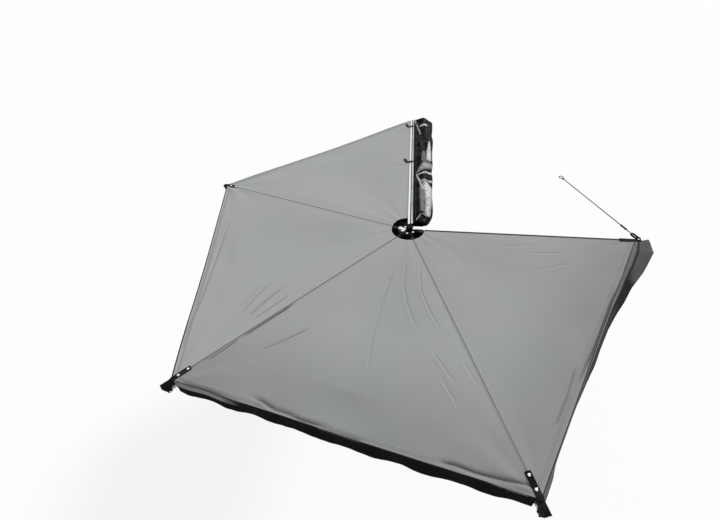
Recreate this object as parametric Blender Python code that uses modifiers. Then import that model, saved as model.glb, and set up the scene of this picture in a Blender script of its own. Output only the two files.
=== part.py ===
"""Vehicle side awning: a fan of four fabric panels on four booms that swing out from one rail.

Units are metres, +Z is up, +Y is the vehicle's forward direction and +X points inboard, towards the vehicle.
The origin is on the underside of the rear rack bracket's foot, at its centre, where it rests on a crossbar.
The awning is modelled fully open. Each boom hangs on the boom before it by a vertical hinge pin, so that all
of them fold back, side by side, against the rail.
"""
import math

import bmesh
import bpy
from mathutils import Matrix, Vector

# Fits
CLEAR = 0.0003
PIN_PLAY = 0.0004

# The fan: order of the booms, the angle that each opens from the one before, its length to the canopy corner
ARMS = ("front", "side", "rear", "end")
LEG_ARMS = ("front", "side", "rear")
SWING_DEG = {"front": 66.7, "side": 68.2, "rear": 64.1, "end": 72.6}
BOOM_REACH = {"front": 1.981, "side": 1.939, "rear": 1.925, "end": 1.730}
DROOP_DEG = 2.87

# Where the fan's hub lies from the origin: inboard offset, fore and aft offset, height of the rail's top
HUB_X = -0.083
HUB_Y = -0.075
HUB_Z = 0.030

# Rail extrusion, its top outboard edge along x = 0 of the hub
RAIL_START = 0.036
RAIL_LENGTH = 2.040
RAIL_WIDTH = 0.038
RAIL_HEIGHT = 0.058
RAIL_WALL = 0.0025
RAIL_CORNER = 0.0015
COVER_SLOT_X = 0.0185
CANOPY_SLOT_Z = -0.0080
KEDER_SLOT_RADIUS = 0.0040
KEDER_MOUTH = 0.0036
KEDER_LIP = 0.0015
TEE_Z = -0.0385
TEE_MOUTH = 0.0086
TEE_WIDTH = 0.0170
TEE_LIP = 0.0025
TEE_DEPTH = 0.0070
CAP_THICKNESS = 0.003
CAP_PLUG = 0.030

# Hinge chain
HINGE_X = -0.020
PITCH = 0.050
LINK_MID_Z = -0.026
LINK_HEIGHT = 0.040
LINK_TAIL = 0.015
LINK_NOSE = 0.045
LUG_RADIUS = 0.0130
LUG_AIR = 0.0015
TONGUE_HEIGHT = 0.019
EAR_HEIGHT = 0.010
PIN_RADIUS = 0.0050
PIN_HEAD_RADIUS = 0.0085
PIN_HEAD = 0.0040
PIN_NUT = 0.0050
BASE_SPIGOT = 0.060
SPIGOT_ROOT = 0.015
NOSE_STEP = 0.0012
GUARD_THICKNESS = 0.0025
GUARD_OUTBOARD = 0.150
GUARD_INBOARD = 0.130
GUARD_REAR = 0.120
GUARD_FRONT = 0.215
GUARD_CORNER = 0.060

# Booms
BOOM_WIDTH = 0.028
BOOM_HEIGHT = 0.032
BOOM_WALL = 0.0016
BOOM_CORNER = 0.0030
BOOM_START = 0.0475
BOOM_OVERHANG = 0.001
SPIGOT_LENGTH = 0.070
CANOPY_LIFT = 0.0008

# Tip plates, which clamp the canopy corners down on the booms
PLATE_WIDTH = 0.033
PLATE_LENGTH = 0.130
PLATE_THICKNESS = 0.0030
PLATE_CORNER = 0.006
RIVET_RADIUS = 0.0075
RIVET_HEIGHT = 0.0030
RIVET_SPACING = 0.064
RIVET_INSET = 0.048

# Leg brackets and legs
TAIL = {"front": 0.046, "side": 0.066, "rear": 0.062}
CHEEK_THICKNESS = 0.0025
CHEEK_STEP = 0.002
CHEEK_GRIP = 0.055
CHEEK_RADIUS = 0.0135
CHEEK_NOSE = 0.010
LEG_DROP = 0.050
LEG_PIN_INSET = 0.028
LEG_PIN_RADIUS = 0.0040
LEG_PIN_HEAD_RADIUS = 0.0070
LEG_PIN_HEAD = 0.0035
LEG_RADIUS = 0.0125
LEG_WALL = 0.0015
LEG_SIDES = 14
LEG_LENGTH = 1.250
LEG_SOLID_END = 0.035
INNER_RADIUS = 0.0095
INNER_WALL = 0.0012
INNER_GRIP = 0.150
INNER_SHOWN = 0.030
LEG_EXTENSION = 0.600
COLLAR_RADIUS = 0.0165
COLLAR_LENGTH = 0.062
COLLAR_OVERLAP = 0.034
COLLAR_EDGE = 0.003
COLLAR_FLUTES = 6
COLLAR_FLUTE_RADIUS = 0.0022
FOOT_RADIUS = 0.0150
FOOT_LENGTH = 0.045
FOOT_SOCKET = 0.028
FOOT_PAD = 0.007
CLIP_LENGTH = 0.026
CLIP_FROM_END = 0.180
CLIP_WALL = 0.0030
CLIP_REACH = 0.004

# Fabric
CLOTH = 0.0024
HOLE_RADIUS = 0.122
PANEL_SAG = 0.022
EDGE_SAG = 0.012
FOLD_DEPTH = 0.010
FOLD_START = 0.84
FOLD_END = 0.97
FOLD_COUNT = 3
SEAM_HALF = 0.0004
HEM_OVER_END_BOOM = 0.010
BEAD_END_AIR = 0.002
WEB_IN_PANEL = 0.004
VALANCE_DROP = 0.145
VALANCE_CLOTH = 0.0020
VALANCE_WAVE = 0.007
VALANCE_WAVE_LENGTH = 0.31
VALANCE_FLARE = 0.115
VALANCE_FLARE_START = 0.42
VALANCE_LEAN = 0.050
CORNER_AIR = 0.024
PANEL_STEPS_OUT = 10
PANEL_STEPS_ROUND = 14
VALANCE_STEPS = 26
VALANCE_ROWS = 3

# Rack brackets, one on each crossbar
BRACKET_Y = {"rear": 0.075, "middle": 0.875, "front": 1.675}
BRACKET_WIDTH = 0.070
BRACKET_REACH = 0.090
BRACKET_THICKNESS = 0.0050
BRACKET_LEG = 0.027
BRACKET_BEND = 0.004
FOOT_SLOT_WIDTH = 0.009
FOOT_SLOT_LENGTH = 0.044
FOOT_SLOT_SPREAD = 0.042
TEE_BOLT_SHANK = 0.0040
TEE_BOLT_HEAD = 0.0075
TEE_BOLT_SPREAD = 0.040
TEE_BOLT_HEAD_HEIGHT = 0.0050

# Travel cover, lying over the brackets, and its two tie straps
COVER_INSET = 0.001
COVER_SHORTFALL = 0.007
COVER_START = RAIL_START + COVER_INSET
COVER_LENGTH = RAIL_LENGTH - COVER_SHORTFALL
COVER_EDGE_X = 0.230
COVER_SPREAD = 0.060
COVER_CROWN = 0.046
COVER_FLOOR_Z = -0.0215
COVER_HEM = 0.010
COVER_SHOULDER = 0.004
COVER_REAR_TAPER = 0.060
COVER_FRONT_TAPER = 0.045
COVER_END_DRAW = 0.050
COVER_PINCH_LENGTH = 0.090
COVER_STATIONS = 30
COVER_STEPS = 8
COVER_CLOTH = 0.0024
STRAP_FRONT_INSET = 0.176
STRAP_Y = {"front": RAIL_START + RAIL_LENGTH - STRAP_FRONT_INSET, "rear": 1.065}
STRAP_WIDTH = 0.030
STRAP_THICKNESS = 0.0018
STRAP_BEND = 0.004
STRAP_TAIL = 0.085
STRAP_TURN_DEG = 75.0
STRAP_RISE = 0.006
STRAP_STEPS = 8

# Guy line from the end boom's ring to the rack
RING_RADIUS = 0.016
RING_WIRE = 0.0030
RING_EYE_RADIUS = 0.0050
RING_EYE_REACH = 0.038
RING_EYE_MARGIN = 0.011
HOOK_LENGTH = 0.058
HOOK_WIDTH = 0.025
HOOK_WIRE = 0.0042
GUY_RADIUS = 0.0035
GUY_END = (1.392, 0.800, -0.006)
GUY_POINTS = 14
TENSIONER_LENGTH = 0.060
TENSIONER_RADIUS = 0.0085
TENSIONER_FROM_HOOK = 0.045
GUY_EYE_RADIUS = 0.018

ALONG_LEG = (math.radians(-90), 0.0, 0.0)

PARTS = None
GUIDES = None
FINISHES = {}


def clear_scene():
    """Removes the objects that the file starts with."""
    for old in list(bpy.data.objects):
        bpy.data.objects.remove(old, do_unlink=True)


def new_collection(name):
    """Adds a collection to the scene."""
    collection = bpy.data.collections.new(name)
    bpy.context.scene.collection.children.link(collection)
    return collection


def add_finish(name, colour, roughness, metallic=0.0):
    """Adds a material with one Principled BSDF."""
    material = bpy.data.materials.new(name)
    material.use_nodes = True
    shader = material.node_tree.nodes["Principled BSDF"]
    shader.inputs["Base Color"].default_value = (*colour, 1.0)
    shader.inputs["Roughness"].default_value = roughness
    shader.inputs["Metallic"].default_value = metallic
    FINISHES[name] = material


def add_empty(name, parent=None, location=(0.0, 0.0, 0.0), rotation=(0.0, 0.0, 0.0)):
    """Adds an empty that pieces are placed from."""
    empty = bpy.data.objects.new(name, None)
    PARTS.objects.link(empty)
    empty.parent = parent
    empty.location = location
    empty.rotation_euler = rotation
    return empty


def add_piece(name, mesh, finish, parent, location=(0.0, 0.0, 0.0), rotation=(0.0, 0.0, 0.0), smooth=False):
    """Adds one named piece of the awning."""
    piece = bpy.data.objects.new(name, mesh)
    PARTS.objects.link(piece)
    piece.parent = parent
    piece.location = location
    piece.rotation_euler = rotation
    mesh.materials.clear()
    mesh.materials.append(FINISHES[finish])
    if smooth:
        mesh.shade_smooth()
        mesh.set_sharp_from_angle(angle=math.radians(40))
    return piece


def combine(piece, mesh, operation, location=(0.0, 0.0, 0.0), rotation=(0.0, 0.0, 0.0)):
    """Unites a shape with a piece, or cuts it away, in the piece's own frame."""
    guide = bpy.data.objects.new(piece.name + "_" + operation.lower(), mesh)
    GUIDES.objects.link(guide)
    guide.parent = piece
    guide.location = location
    guide.rotation_euler = rotation
    guide.hide_render = True
    guide.display_type = "WIRE"
    modifier = piece.modifiers.new(operation.title(), "BOOLEAN")
    modifier.object = guide
    modifier.operation = operation
    modifier.solver = "EXACT"


def evaluated_mesh(piece):
    """Turns a temporary object into a welded, closed mesh and removes the object."""
    bpy.context.view_layer.update()
    depsgraph = bpy.context.evaluated_depsgraph_get()
    mesh = bpy.data.meshes.new_from_object(piece.evaluated_get(depsgraph))
    bm = bmesh.new()
    bm.from_mesh(mesh)
    bmesh.ops.remove_doubles(bm, verts=bm.verts, dist=1e-6)
    bmesh.ops.recalc_face_normals(bm, faces=bm.faces)
    bm.to_mesh(mesh)
    bm.free()
    bpy.data.objects.remove(piece, do_unlink=True)
    return mesh


def arc(centre, radius, start_deg, end_deg, steps):
    """Points along an arc, both ends included."""
    turn = [math.radians(start_deg + (end_deg - start_deg) * i / steps) for i in range(steps + 1)]
    return [(centre[0] + radius * math.cos(a), centre[1] + radius * math.sin(a)) for a in turn]


def circle(centre, radius, steps=16):
    """Points round a circle."""
    return arc(centre, radius, 0.0, 360.0, steps)[:-1]


def rounded_rectangle(width, height, radius, centre=(0.0, 0.0), steps=3):
    """Points round a rectangle with rounded corners."""
    right = centre[0] + width / 2 - radius
    left = centre[0] - width / 2 + radius
    top = centre[1] + height / 2 - radius
    bottom = centre[1] - height / 2 + radius
    corners = ((right, top, 0.0), (left, top, 90.0), (left, bottom, 180.0), (right, bottom, 270.0))
    return [p for x, y, turn in corners for p in arc((x, y), radius, turn, turn + 90.0, steps)]


def extrusion(outlines, thickness):
    """A flat outline, with any holes, made solid and centred on its plane."""
    curve = bpy.data.curves.new("outline", "CURVE")
    curve.dimensions = "2D"
    curve.fill_mode = "BOTH"
    curve.extrude = thickness / 2
    curve.render_resolution_u = 0
    for outline in outlines:
        spline = curve.splines.new("POLY")
        spline.points.add(len(outline) - 1)
        for point, (x, y) in zip(spline.points, outline):
            point.co = (x, y, 0.0, 1.0)
        spline.use_cyclic_u = True
    guide = bpy.data.objects.new("outline", curve)
    GUIDES.objects.link(guide)
    return evaluated_mesh(guide)


def block(low, high):
    """A box between two corners."""
    mesh = bpy.data.meshes.new("block")
    bm = bmesh.new()
    bmesh.ops.create_cube(bm, size=1.0)
    size = [b - a for a, b in zip(low, high)]
    middle = [(a + b) / 2 for a, b in zip(low, high)]
    bmesh.ops.scale(bm, vec=size, verts=bm.verts)
    bmesh.ops.translate(bm, vec=middle, verts=bm.verts)
    bm.to_mesh(mesh)
    bm.free()
    return mesh


def rod(radius, length, sides=16):
    """A cylinder along Z, centred."""
    mesh = bpy.data.meshes.new("rod")
    bm = bmesh.new()
    bmesh.ops.create_cone(bm, cap_ends=True, segments=sides, radius1=radius, radius2=radius, depth=length)
    bm.to_mesh(mesh)
    bm.free()
    return mesh


def turned(profile, steps=16):
    """A profile of (radius, height) points, from top to bottom, turned about Z."""
    pairs = [(i, i + 1) for i in range(len(profile) - 1)]
    if profile[0][0] > 0.0:
        pairs.append((len(profile) - 1, 0))
    edges = [(i, j) for i, j in pairs if profile[i][0] > 0.0 or profile[j][0] > 0.0]
    mesh = bpy.data.meshes.new("profile")
    mesh.from_pydata([(r, 0.0, z) for r, z in profile], edges, [])
    guide = bpy.data.objects.new("profile", mesh)
    GUIDES.objects.link(guide)
    screw = guide.modifiers.new("Screw", "SCREW")
    screw.axis = "Z"
    screw.steps = steps
    screw.render_steps = steps
    screw.use_merge_vertices = True
    screw.merge_threshold = 0.00001
    return evaluated_mesh(guide)


def tube_path(points, radius, closed=False, resolution=2):
    """A round wire or cord through the points."""
    curve = bpy.data.curves.new("path", "CURVE")
    curve.dimensions = "3D"
    curve.bevel_depth = radius
    curve.bevel_resolution = resolution
    curve.use_fill_caps = True
    curve.render_resolution_u = 0
    spline = curve.splines.new("POLY")
    spline.points.add(len(points) - 1)
    for point, place in zip(spline.points, points):
        point.co = (*place, 1.0)
    spline.use_cyclic_u = closed
    guide = bpy.data.objects.new("path", curve)
    GUIDES.objects.link(guide)
    return evaluated_mesh(guide)


def sheet(rows, thickness):
    """A grid of points made into a cloth of even thickness, half of it on each side."""
    mesh = bpy.data.meshes.new("sheet")
    across = len(rows[0])
    points = [p for row in rows for p in row]
    faces = []
    for i in range(len(rows) - 1):
        for j in range(across - 1):
            corner = i * across + j
            faces.append((corner, corner + across, corner + across + 1, corner + 1))
    mesh.from_pydata(points, [], faces)
    guide = bpy.data.objects.new("sheet", mesh)
    GUIDES.objects.link(guide)
    solid = guide.modifiers.new("Solidify", "SOLIDIFY")
    solid.thickness = thickness
    solid.offset = 0.0
    return evaluated_mesh(guide)


def lofted(rings):
    """A closed skin over rings of points that have equal counts, with both ends filled."""
    mesh = bpy.data.meshes.new("loft")
    count = len(rings[0])
    bm = bmesh.new()
    levels = [[bm.verts.new(p) for p in ring] for ring in rings]
    for low, high in zip(levels, levels[1:]):
        for j in range(count):
            k = (j + 1) % count
            bm.faces.new((low[j], low[k], high[k], high[j]))
    bm.faces.new(levels[0][::-1])
    bm.faces.new(levels[-1])
    bmesh.ops.recalc_face_normals(bm, faces=bm.faces)
    bm.to_mesh(mesh)
    bm.free()
    return mesh


def keder_depth():
    """How deep in the rail's face the middle of a round slot lies."""
    half = KEDER_MOUTH / 2
    return KEDER_LIP + math.sqrt(KEDER_SLOT_RADIUS ** 2 - half ** 2)


def keder_notch(face, inward, along):
    """Outline of a round slot with a narrow mouth, cut into a face of the rail."""
    face, inward, along = Vector(face), Vector(inward), Vector(along)
    half = KEDER_MOUTH / 2
    lean = math.asin(half / KEDER_SLOT_RADIUS)
    depth = keder_depth()
    steps = 9
    points = [face - along * half]
    for i in range(steps + 1):
        turn = lean + (2 * math.pi - 2 * lean) * i / steps
        offset = -along * math.sin(turn) - inward * math.cos(turn)
        points.append(face + inward * depth + offset * KEDER_SLOT_RADIUS)
    points.append(face + along * half)
    return [tuple(p) for p in points]


def tee_notch(face, inward, along):
    """Outline of a T-slot cut into a face of the rail."""
    face, inward, along = Vector(face), Vector(inward), Vector(along)
    steps = ((0.0, TEE_MOUTH), (TEE_LIP, TEE_MOUTH), (TEE_LIP, TEE_WIDTH), (TEE_LIP + TEE_DEPTH, TEE_WIDTH))
    before = [face + inward * d - along * (w / 2) for d, w in steps]
    after = [face + inward * d + along * (w / 2) for d, w in reversed(steps)]
    return [tuple(p) for p in before + after]


def rail_chamber():
    """The rail's hollow: its left, right, bottom and top."""
    right = RAIL_WIDTH - TEE_LIP - TEE_DEPTH - RAIL_WALL
    top = CANOPY_SLOT_Z - KEDER_SLOT_RADIUS - RAIL_WALL
    return RAIL_WALL, right, RAIL_WALL - RAIL_HEIGHT, top


def build_rail(hub):
    """The base rail: an extrusion with two keder slots, a T-slot and one hollow."""
    r, w, h = RAIL_CORNER, RAIL_WIDTH, RAIL_HEIGHT
    outer = arc((r, -r), r, 180.0, 90.0, 3)
    outer += keder_notch((COVER_SLOT_X, 0.0), (0.0, -1.0), (1.0, 0.0))
    outer += arc((w - r, -r), r, 90.0, 0.0, 3)
    outer += tee_notch((w, TEE_Z), (-1.0, 0.0), (0.0, -1.0))
    outer += arc((w - r, r - h), r, 0.0, -90.0, 3)
    outer += arc((r, r - h), r, -90.0, -180.0, 3)
    outer += keder_notch((0.0, CANOPY_SLOT_Z), (1.0, 0.0), (0.0, 1.0))
    left, right, bottom, top = rail_chamber()
    middle = ((left + right) / 2, (bottom + top) / 2)
    inner = rounded_rectangle(right - left, top - bottom, RAIL_CORNER, middle)
    mesh = extrusion((outer, inner), RAIL_LENGTH)
    centre = (0.0, RAIL_START + RAIL_LENGTH / 2, 0.0)
    add_piece("base_rail", mesh, "aluminium", hub, centre, (math.radians(90), 0.0, 0.0))


def build_rail_cap(hub):
    """The moulded cap that closes the rail's front end, with a plug in the rail's hollow."""
    y = RAIL_START + RAIL_LENGTH + CLEAR + CAP_THICKNESS / 2
    middle = (RAIL_WIDTH / 2, -RAIL_HEIGHT / 2)
    plate = extrusion((rounded_rectangle(RAIL_WIDTH, RAIL_HEIGHT, RAIL_CORNER * 2, middle),), CAP_THICKNESS)
    cap = add_piece("rail_end_cap", plate, "moulding", hub, (0.0, y, 0.0), (math.radians(90), 0.0, 0.0))
    combine(cap, rail_plug(CAP_PLUG), "UNION", (0.0, 0.0, CAP_PLUG / 2))


def rail_plug(length):
    """A plug of the rail's hollow, with its clearance, in the plane of the rail's outline."""
    left, right, bottom, top = rail_chamber()
    middle = ((left + right) / 2, (bottom + top) / 2)
    width, height = right - left - 2 * CLEAR, top - bottom - 2 * CLEAR
    return extrusion((rounded_rectangle(width, height, RAIL_CORNER, middle),), length)


def lug(pin_x, reach, height, side):
    """A flat lug: round about its pin at pin_x, straight back to x = reach, with the pin's hole."""
    start = 90.0 if side < 0 else -90.0
    outline = arc((pin_x, 0.0), LUG_RADIUS, start, start + 180.0, 9)
    outline += [(reach, side * LUG_RADIUS), (reach, -side * LUG_RADIUS)]
    hole = circle((pin_x, 0.0), PIN_RADIUS + PIN_PLAY, 14)
    return extrusion((outline, hole), height)


def add_ears(piece, pin_x, reach, side):
    """The two ears of a fork, above and below the tongue that they hold."""
    for sign in (-1, 1):
        z = sign * (LINK_HEIGHT - EAR_HEIGHT) / 2
        combine(piece, lug(pin_x, reach, EAR_HEIGHT, side), "UNION", (0.0, 0.0, z))


def base_floor():
    """Height of the hinge base's underside, level with the plug in the rail."""
    return rail_chamber()[2] + CLEAR


def build_hinge_base(hub):
    """The casting on the rail's rear end: a fork for the first boom's link and a spigot in the rail."""
    face = HINGE_X + LUG_RADIUS + LUG_AIR
    top = LINK_HEIGHT / 2
    floor = base_floor() - LINK_MID_Z
    body = block((face, -LINK_TAIL, floor), (RAIL_WIDTH, RAIL_START - CLEAR, top))
    base = add_piece("hinge_base", body, "black_casting", hub, (0.0, 0.0, LINK_MID_Z))
    length = BASE_SPIGOT + SPIGOT_ROOT
    spot = (0.0, RAIL_START + BASE_SPIGOT - length / 2, -LINK_MID_Z)
    combine(base, rail_plug(length), "UNION", spot, (math.radians(90), 0.0, 0.0))
    add_ears(base, HINGE_X, face + LUG_RADIUS, -1)


def build_hub_guard(hub):
    """The black plate under the hinges, with a step that clears the rail."""
    left, right = -GUARD_OUTBOARD, GUARD_INBOARD
    rear, front = -GUARD_REAR, GUARD_FRONT
    step_x, step_y, r = -CLEAR, RAIL_START - CLEAR, GUARD_CORNER
    small = r / 4
    outline = arc((left + r, front - r), r, 180.0, 90.0, 6)
    outline += arc((step_x - small, front - small), small, 90.0, 0.0, 4)
    outline += [(step_x, step_y)]
    outline += arc((right - small, step_y - small), small, 90.0, 0.0, 4)
    outline += arc((right - r, rear + r), r, 0.0, -90.0, 6)
    outline += arc((left + r, rear + r), r, -90.0, -180.0, 6)
    mesh = extrusion((outline,), GUARD_THICKNESS)
    z = base_floor() - CLEAR - GUARD_THICKNESS / 2
    add_piece("hub_guard", mesh, "black_casting", hub, (0.0, 0.0, z))


def link_spigot(link):
    """The sloping spigot that carries a boom, seen from its link."""
    width = BOOM_WIDTH - 2 * (BOOM_WALL + CLEAR)
    height = BOOM_HEIGHT - 2 * (BOOM_WALL + CLEAR)
    length = SPIGOT_LENGTH + SPIGOT_ROOT
    shape = extrusion((rounded_rectangle(width, height, BOOM_CORNER - BOOM_WALL),), length)
    droop = -math.radians(DROOP_DEG)
    middle = Vector((0.0, LINK_NOSE + SPIGOT_LENGTH - length / 2, 0.0))
    middle.rotate(Matrix.Rotation(droop, 3, "X"))
    spot = middle - Vector((PITCH / 2, 0.0, 0.0))
    combine(link, shape, "UNION", spot, (math.radians(90) + droop, 0.0, 0.0))


def build_link(arm, pivot):
    """One link of the hinge chain: a tongue on its own pin, a fork for the next link and a spigot."""
    half = PITCH / 2 - LUG_RADIUS - LUG_AIR
    top = LINK_HEIGHT / 2
    body = block((-PITCH / 2 - half, -LINK_TAIL, -top), (half - PITCH / 2, LINK_NOSE, top))
    link = add_piece("link_" + arm, body, "grey_casting", pivot, (0.0, 0.0, LINK_MID_Z))
    nose_half, nose_top = BOOM_WIDTH / 2 + NOSE_STEP, top - NOSE_STEP
    nose_end = LINK_NOSE - NOSE_STEP
    low = (-PITCH / 2 - nose_half, LINK_TAIL + LUG_AIR, -nose_top)
    high = (nose_half - PITCH / 2, nose_end, nose_top)
    combine(link, block(low, high), "UNION")
    combine(link, lug(0.0, -PITCH / 2, TONGUE_HEIGHT, 1), "UNION")
    if arm != ARMS[-1]:
        add_ears(link, -PITCH, -PITCH / 2, -1)
    link_spigot(link)


def build_hinge_bolt(arm, pivot):
    """The bolt through one hinge: domed head above the fork, nut below it."""
    top, r = LINK_HEIGHT / 2 + CLEAR, PIN_HEAD_RADIUS
    dome = [(0.0, top + PIN_HEAD), (r * 0.6, top + PIN_HEAD * 0.85), (r, top + PIN_HEAD * 0.35)]
    shank = [(r, top), (PIN_RADIUS, top), (PIN_RADIUS, -top)]
    nut = [(r, -top), (r, -top - PIN_NUT), (0.0, -top - PIN_NUT)]
    mesh = turned(dome + shank + nut, 16)
    add_piece("hinge_bolt_" + arm, mesh, "bright_steel", pivot, (0.0, 0.0, LINK_MID_Z), smooth=True)


def build_boom(arm, axis):
    """One boom: a rounded rectangular tube, pushed on its link's spigot."""
    wall = BOOM_WALL
    outer = rounded_rectangle(BOOM_WIDTH, BOOM_HEIGHT, BOOM_CORNER)
    inner = rounded_rectangle(BOOM_WIDTH - 2 * wall, BOOM_HEIGHT - 2 * wall, BOOM_CORNER - wall)
    length = BOOM_REACH[arm] + BOOM_OVERHANG - BOOM_START
    mesh = extrusion((outer, inner), length)
    middle = BOOM_START + length / 2
    add_piece("boom_" + arm, mesh, "aluminium", axis, (0.0, middle, 0.0), (math.radians(90), 0.0, 0.0))


def panel_tilt(arm):
    """Slope of a panel across its second boom, which comes from the booms' droop."""
    return math.tan(math.radians(DROOP_DEG)) * math.tan(math.radians(SWING_DEG[arm]) / 2)


def plate_middle_z(arm):
    """Height of a tip plate's middle over its boom's centre line, clear of the canopy under it."""
    hem_rise = HEM_OVER_END_BOOM * panel_tilt(arm) if arm == ARMS[-1] else 0.0
    return BOOM_HEIGHT / 2 + CANOPY_LIFT + CLOTH + hem_rise + 2 * CLEAR + PLATE_THICKNESS / 2


def tip_plate_outline(arm):
    """Outline of a tip plate about its middle; the end boom's runs on in a tongue for the guy ring."""
    c, right, front = PLATE_CORNER, PLATE_WIDTH / 2 - PLATE_CORNER, PLATE_LENGTH / 2 - PLATE_CORNER
    outline = arc((-right, -front), c, 270.0, 180.0, 3) + arc((-right, front), c, 180.0, 90.0, 3)
    if arm == ARMS[-1]:
        side, reach = right - c, front + RING_EYE_REACH
        outline += arc((-side, reach), c, 180.0, 90.0, 3) + arc((side, reach), c, 90.0, 0.0, 3)
    outline += arc((right, front), c, 90.0, 0.0, 3) + arc((right, -front), c, 0.0, -90.0, 3)
    return outline


def build_tip_plate(arm, axis):
    """The plate over a canopy corner, with two rivet heads and, on the end boom, the guy ring's eye."""
    middle = BOOM_REACH[arm] - PLATE_LENGTH / 2
    outlines = [tip_plate_outline(arm)]
    if arm == ARMS[-1]:
        outlines.append(circle((0.0, ring_eye_y() - middle), RING_EYE_RADIUS, 14))
    shape = extrusion(outlines, PLATE_THICKNESS)
    plate = add_piece("tip_plate_" + arm, shape, "black_casting", axis, (0.0, middle, plate_middle_z(arm)))
    for step in (0, 1):
        y = PLATE_LENGTH / 2 - RIVET_INSET - step * RIVET_SPACING
        r, root = RIVET_RADIUS, -PLATE_THICKNESS / 2
        dome = [(0.0, RIVET_HEIGHT), (r * 0.7, RIVET_HEIGHT * 0.7), (r, 0.0), (r, root), (0.0, root)]
        combine(plate, turned(dome, 12), "UNION", (0.0, y, PLATE_THICKNESS / 2))


def ring_eye_y():
    """Where the eye for the guy ring lies along the end boom."""
    return BOOM_REACH[ARMS[-1]] + RING_EYE_REACH - RING_EYE_MARGIN


def leg_pin(arm):
    """Where a leg's pin lies along its boom and under it."""
    return BOOM_REACH[arm] + TAIL[arm] - LEG_PIN_INSET, -LEG_DROP


def build_leg_bracket(arm, axis):
    """The black channel on a boom's tip: a top web beyond it and two cheeks down to the leg's pin."""
    pin_y, pin_z = leg_pin(arm)
    front = BOOM_REACH[arm] + TAIL[arm]
    back = BOOM_REACH[arm] - CHEEK_GRIP
    top = BOOM_HEIGHT / 2 - CHEEK_STEP
    low = -BOOM_HEIGHT / 2
    inside = BOOM_WIDTH / 2 + CLEAR
    outline = [(back, low), (back, top), (front, top), (front, top - CHEEK_NOSE)]
    outline += arc((pin_y, pin_z), CHEEK_RADIUS, 20.0, -160.0, 8) + [(pin_y - CHEEK_RADIUS * 1.6, low)]
    hole = circle((pin_y, pin_z), LEG_PIN_RADIUS + PIN_PLAY, 14)
    web = block((-inside - CHEEK_THICKNESS, BOOM_REACH[arm] + BOOM_OVERHANG + CLEAR, top - CHEEK_THICKNESS),
                (inside + CHEEK_THICKNESS, front, top))
    bracket = add_piece("leg_bracket_" + arm, web, "black_casting", axis)
    for side in (-1, 1):
        x = side * (inside + CHEEK_THICKNESS / 2)
        turn = (math.radians(90), 0.0, math.radians(90))
        combine(bracket, extrusion((outline, hole), CHEEK_THICKNESS), "UNION", (x, 0.0, 0.0), turn)


def build_leg_bolt(arm, swing):
    """The bolt through the cheeks and the leg's end."""
    half = BOOM_WIDTH / 2 + 2 * CLEAR + CHEEK_THICKNESS
    r, head = LEG_PIN_HEAD_RADIUS, LEG_PIN_HEAD
    profile = [(0.0, half + head), (r * 0.7, half + head), (r, half + head * 0.5), (r, half)]
    profile += [(LEG_PIN_RADIUS, half), (LEG_PIN_RADIUS, -half), (r, -half), (r, -half - head), (0.0, -half - head)]
    turn = (0.0, math.radians(90), 0.0)
    add_piece("leg_bolt_" + arm, turned(profile, 14), "bright_steel", swing, rotation=turn, smooth=True)


def build_leg_outer(arm, swing):
    """The upper leg tube: solid and round at its pin, open where the inner tube slides out."""
    r, bore = LEG_RADIUS, LEG_RADIUS - LEG_WALL
    dome = [(r * math.sin(math.radians(a)), r * math.cos(math.radians(a))) for a in (0, 30, 60, 90)]
    profile = dome + [(r, -LEG_LENGTH), (bore, -LEG_LENGTH), (bore, -LEG_SOLID_END), (0.0, -LEG_SOLID_END)]
    leg = add_piece("leg_outer_" + arm, turned(profile, LEG_SIDES), "leg_tube", swing, rotation=ALONG_LEG, smooth=True)
    hole = rod(LEG_PIN_RADIUS + PIN_PLAY, 4 * r, 12)
    combine(leg, hole, "DIFFERENCE", rotation=(0.0, math.radians(90), 0.0))


def build_leg_inner(arm, slide):
    """The lower leg tube, nearly all of it inside the upper one when it is put away."""
    r, bore = INNER_RADIUS, INNER_RADIUS - INNER_WALL
    top = -LEG_LENGTH + LEG_EXTENSION + INNER_GRIP
    bottom = inner_tube_end()
    profile = [(r, top), (r, bottom), (bore, bottom), (bore, top)]
    add_piece("leg_inner_" + arm, turned(profile, LEG_SIDES), "aluminium", slide, rotation=ALONG_LEG, smooth=True)


def inner_tube_end():
    """Where the stowed inner tube ends, measured from the leg's pin along its axis."""
    return -LEG_LENGTH - (COLLAR_LENGTH - COLLAR_OVERLAP) - INNER_SHOWN


def build_leg_collar(arm, twist):
    """The twist-lock collar where the tubes meet: a stepped bore and a fluted grip."""
    step = -LEG_LENGTH - CLEAR
    top = -LEG_LENGTH + COLLAR_OVERLAP
    bottom = top - COLLAR_LENGTH
    flat = math.cos(math.pi / LEG_SIDES)
    wide, narrow, r = LEG_RADIUS / flat + CLEAR, INNER_RADIUS / flat + CLEAR, COLLAR_RADIUS
    edge = COLLAR_EDGE
    profile = [(wide, top), (r - edge * 0.5, top), (r, top - edge), (r, bottom + edge), (r - edge * 0.5, bottom)]
    profile += [(narrow, bottom), (narrow, step), (wide, step)]
    shape = turned(profile, LEG_SIDES)
    collar = add_piece("leg_collar_" + arm, shape, "moulding", twist, rotation=ALONG_LEG, smooth=True)
    for i in range(COLLAR_FLUTES):
        turn = 2 * math.pi * (i + 0.5) / COLLAR_FLUTES
        reach = r + COLLAR_FLUTE_RADIUS * 0.55
        flute = rod(COLLAR_FLUTE_RADIUS, COLLAR_LENGTH * 0.62, 6)
        spot = (reach * math.cos(turn), reach * math.sin(turn), (top + bottom) / 2)
        combine(collar, flute, "DIFFERENCE", spot)


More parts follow.
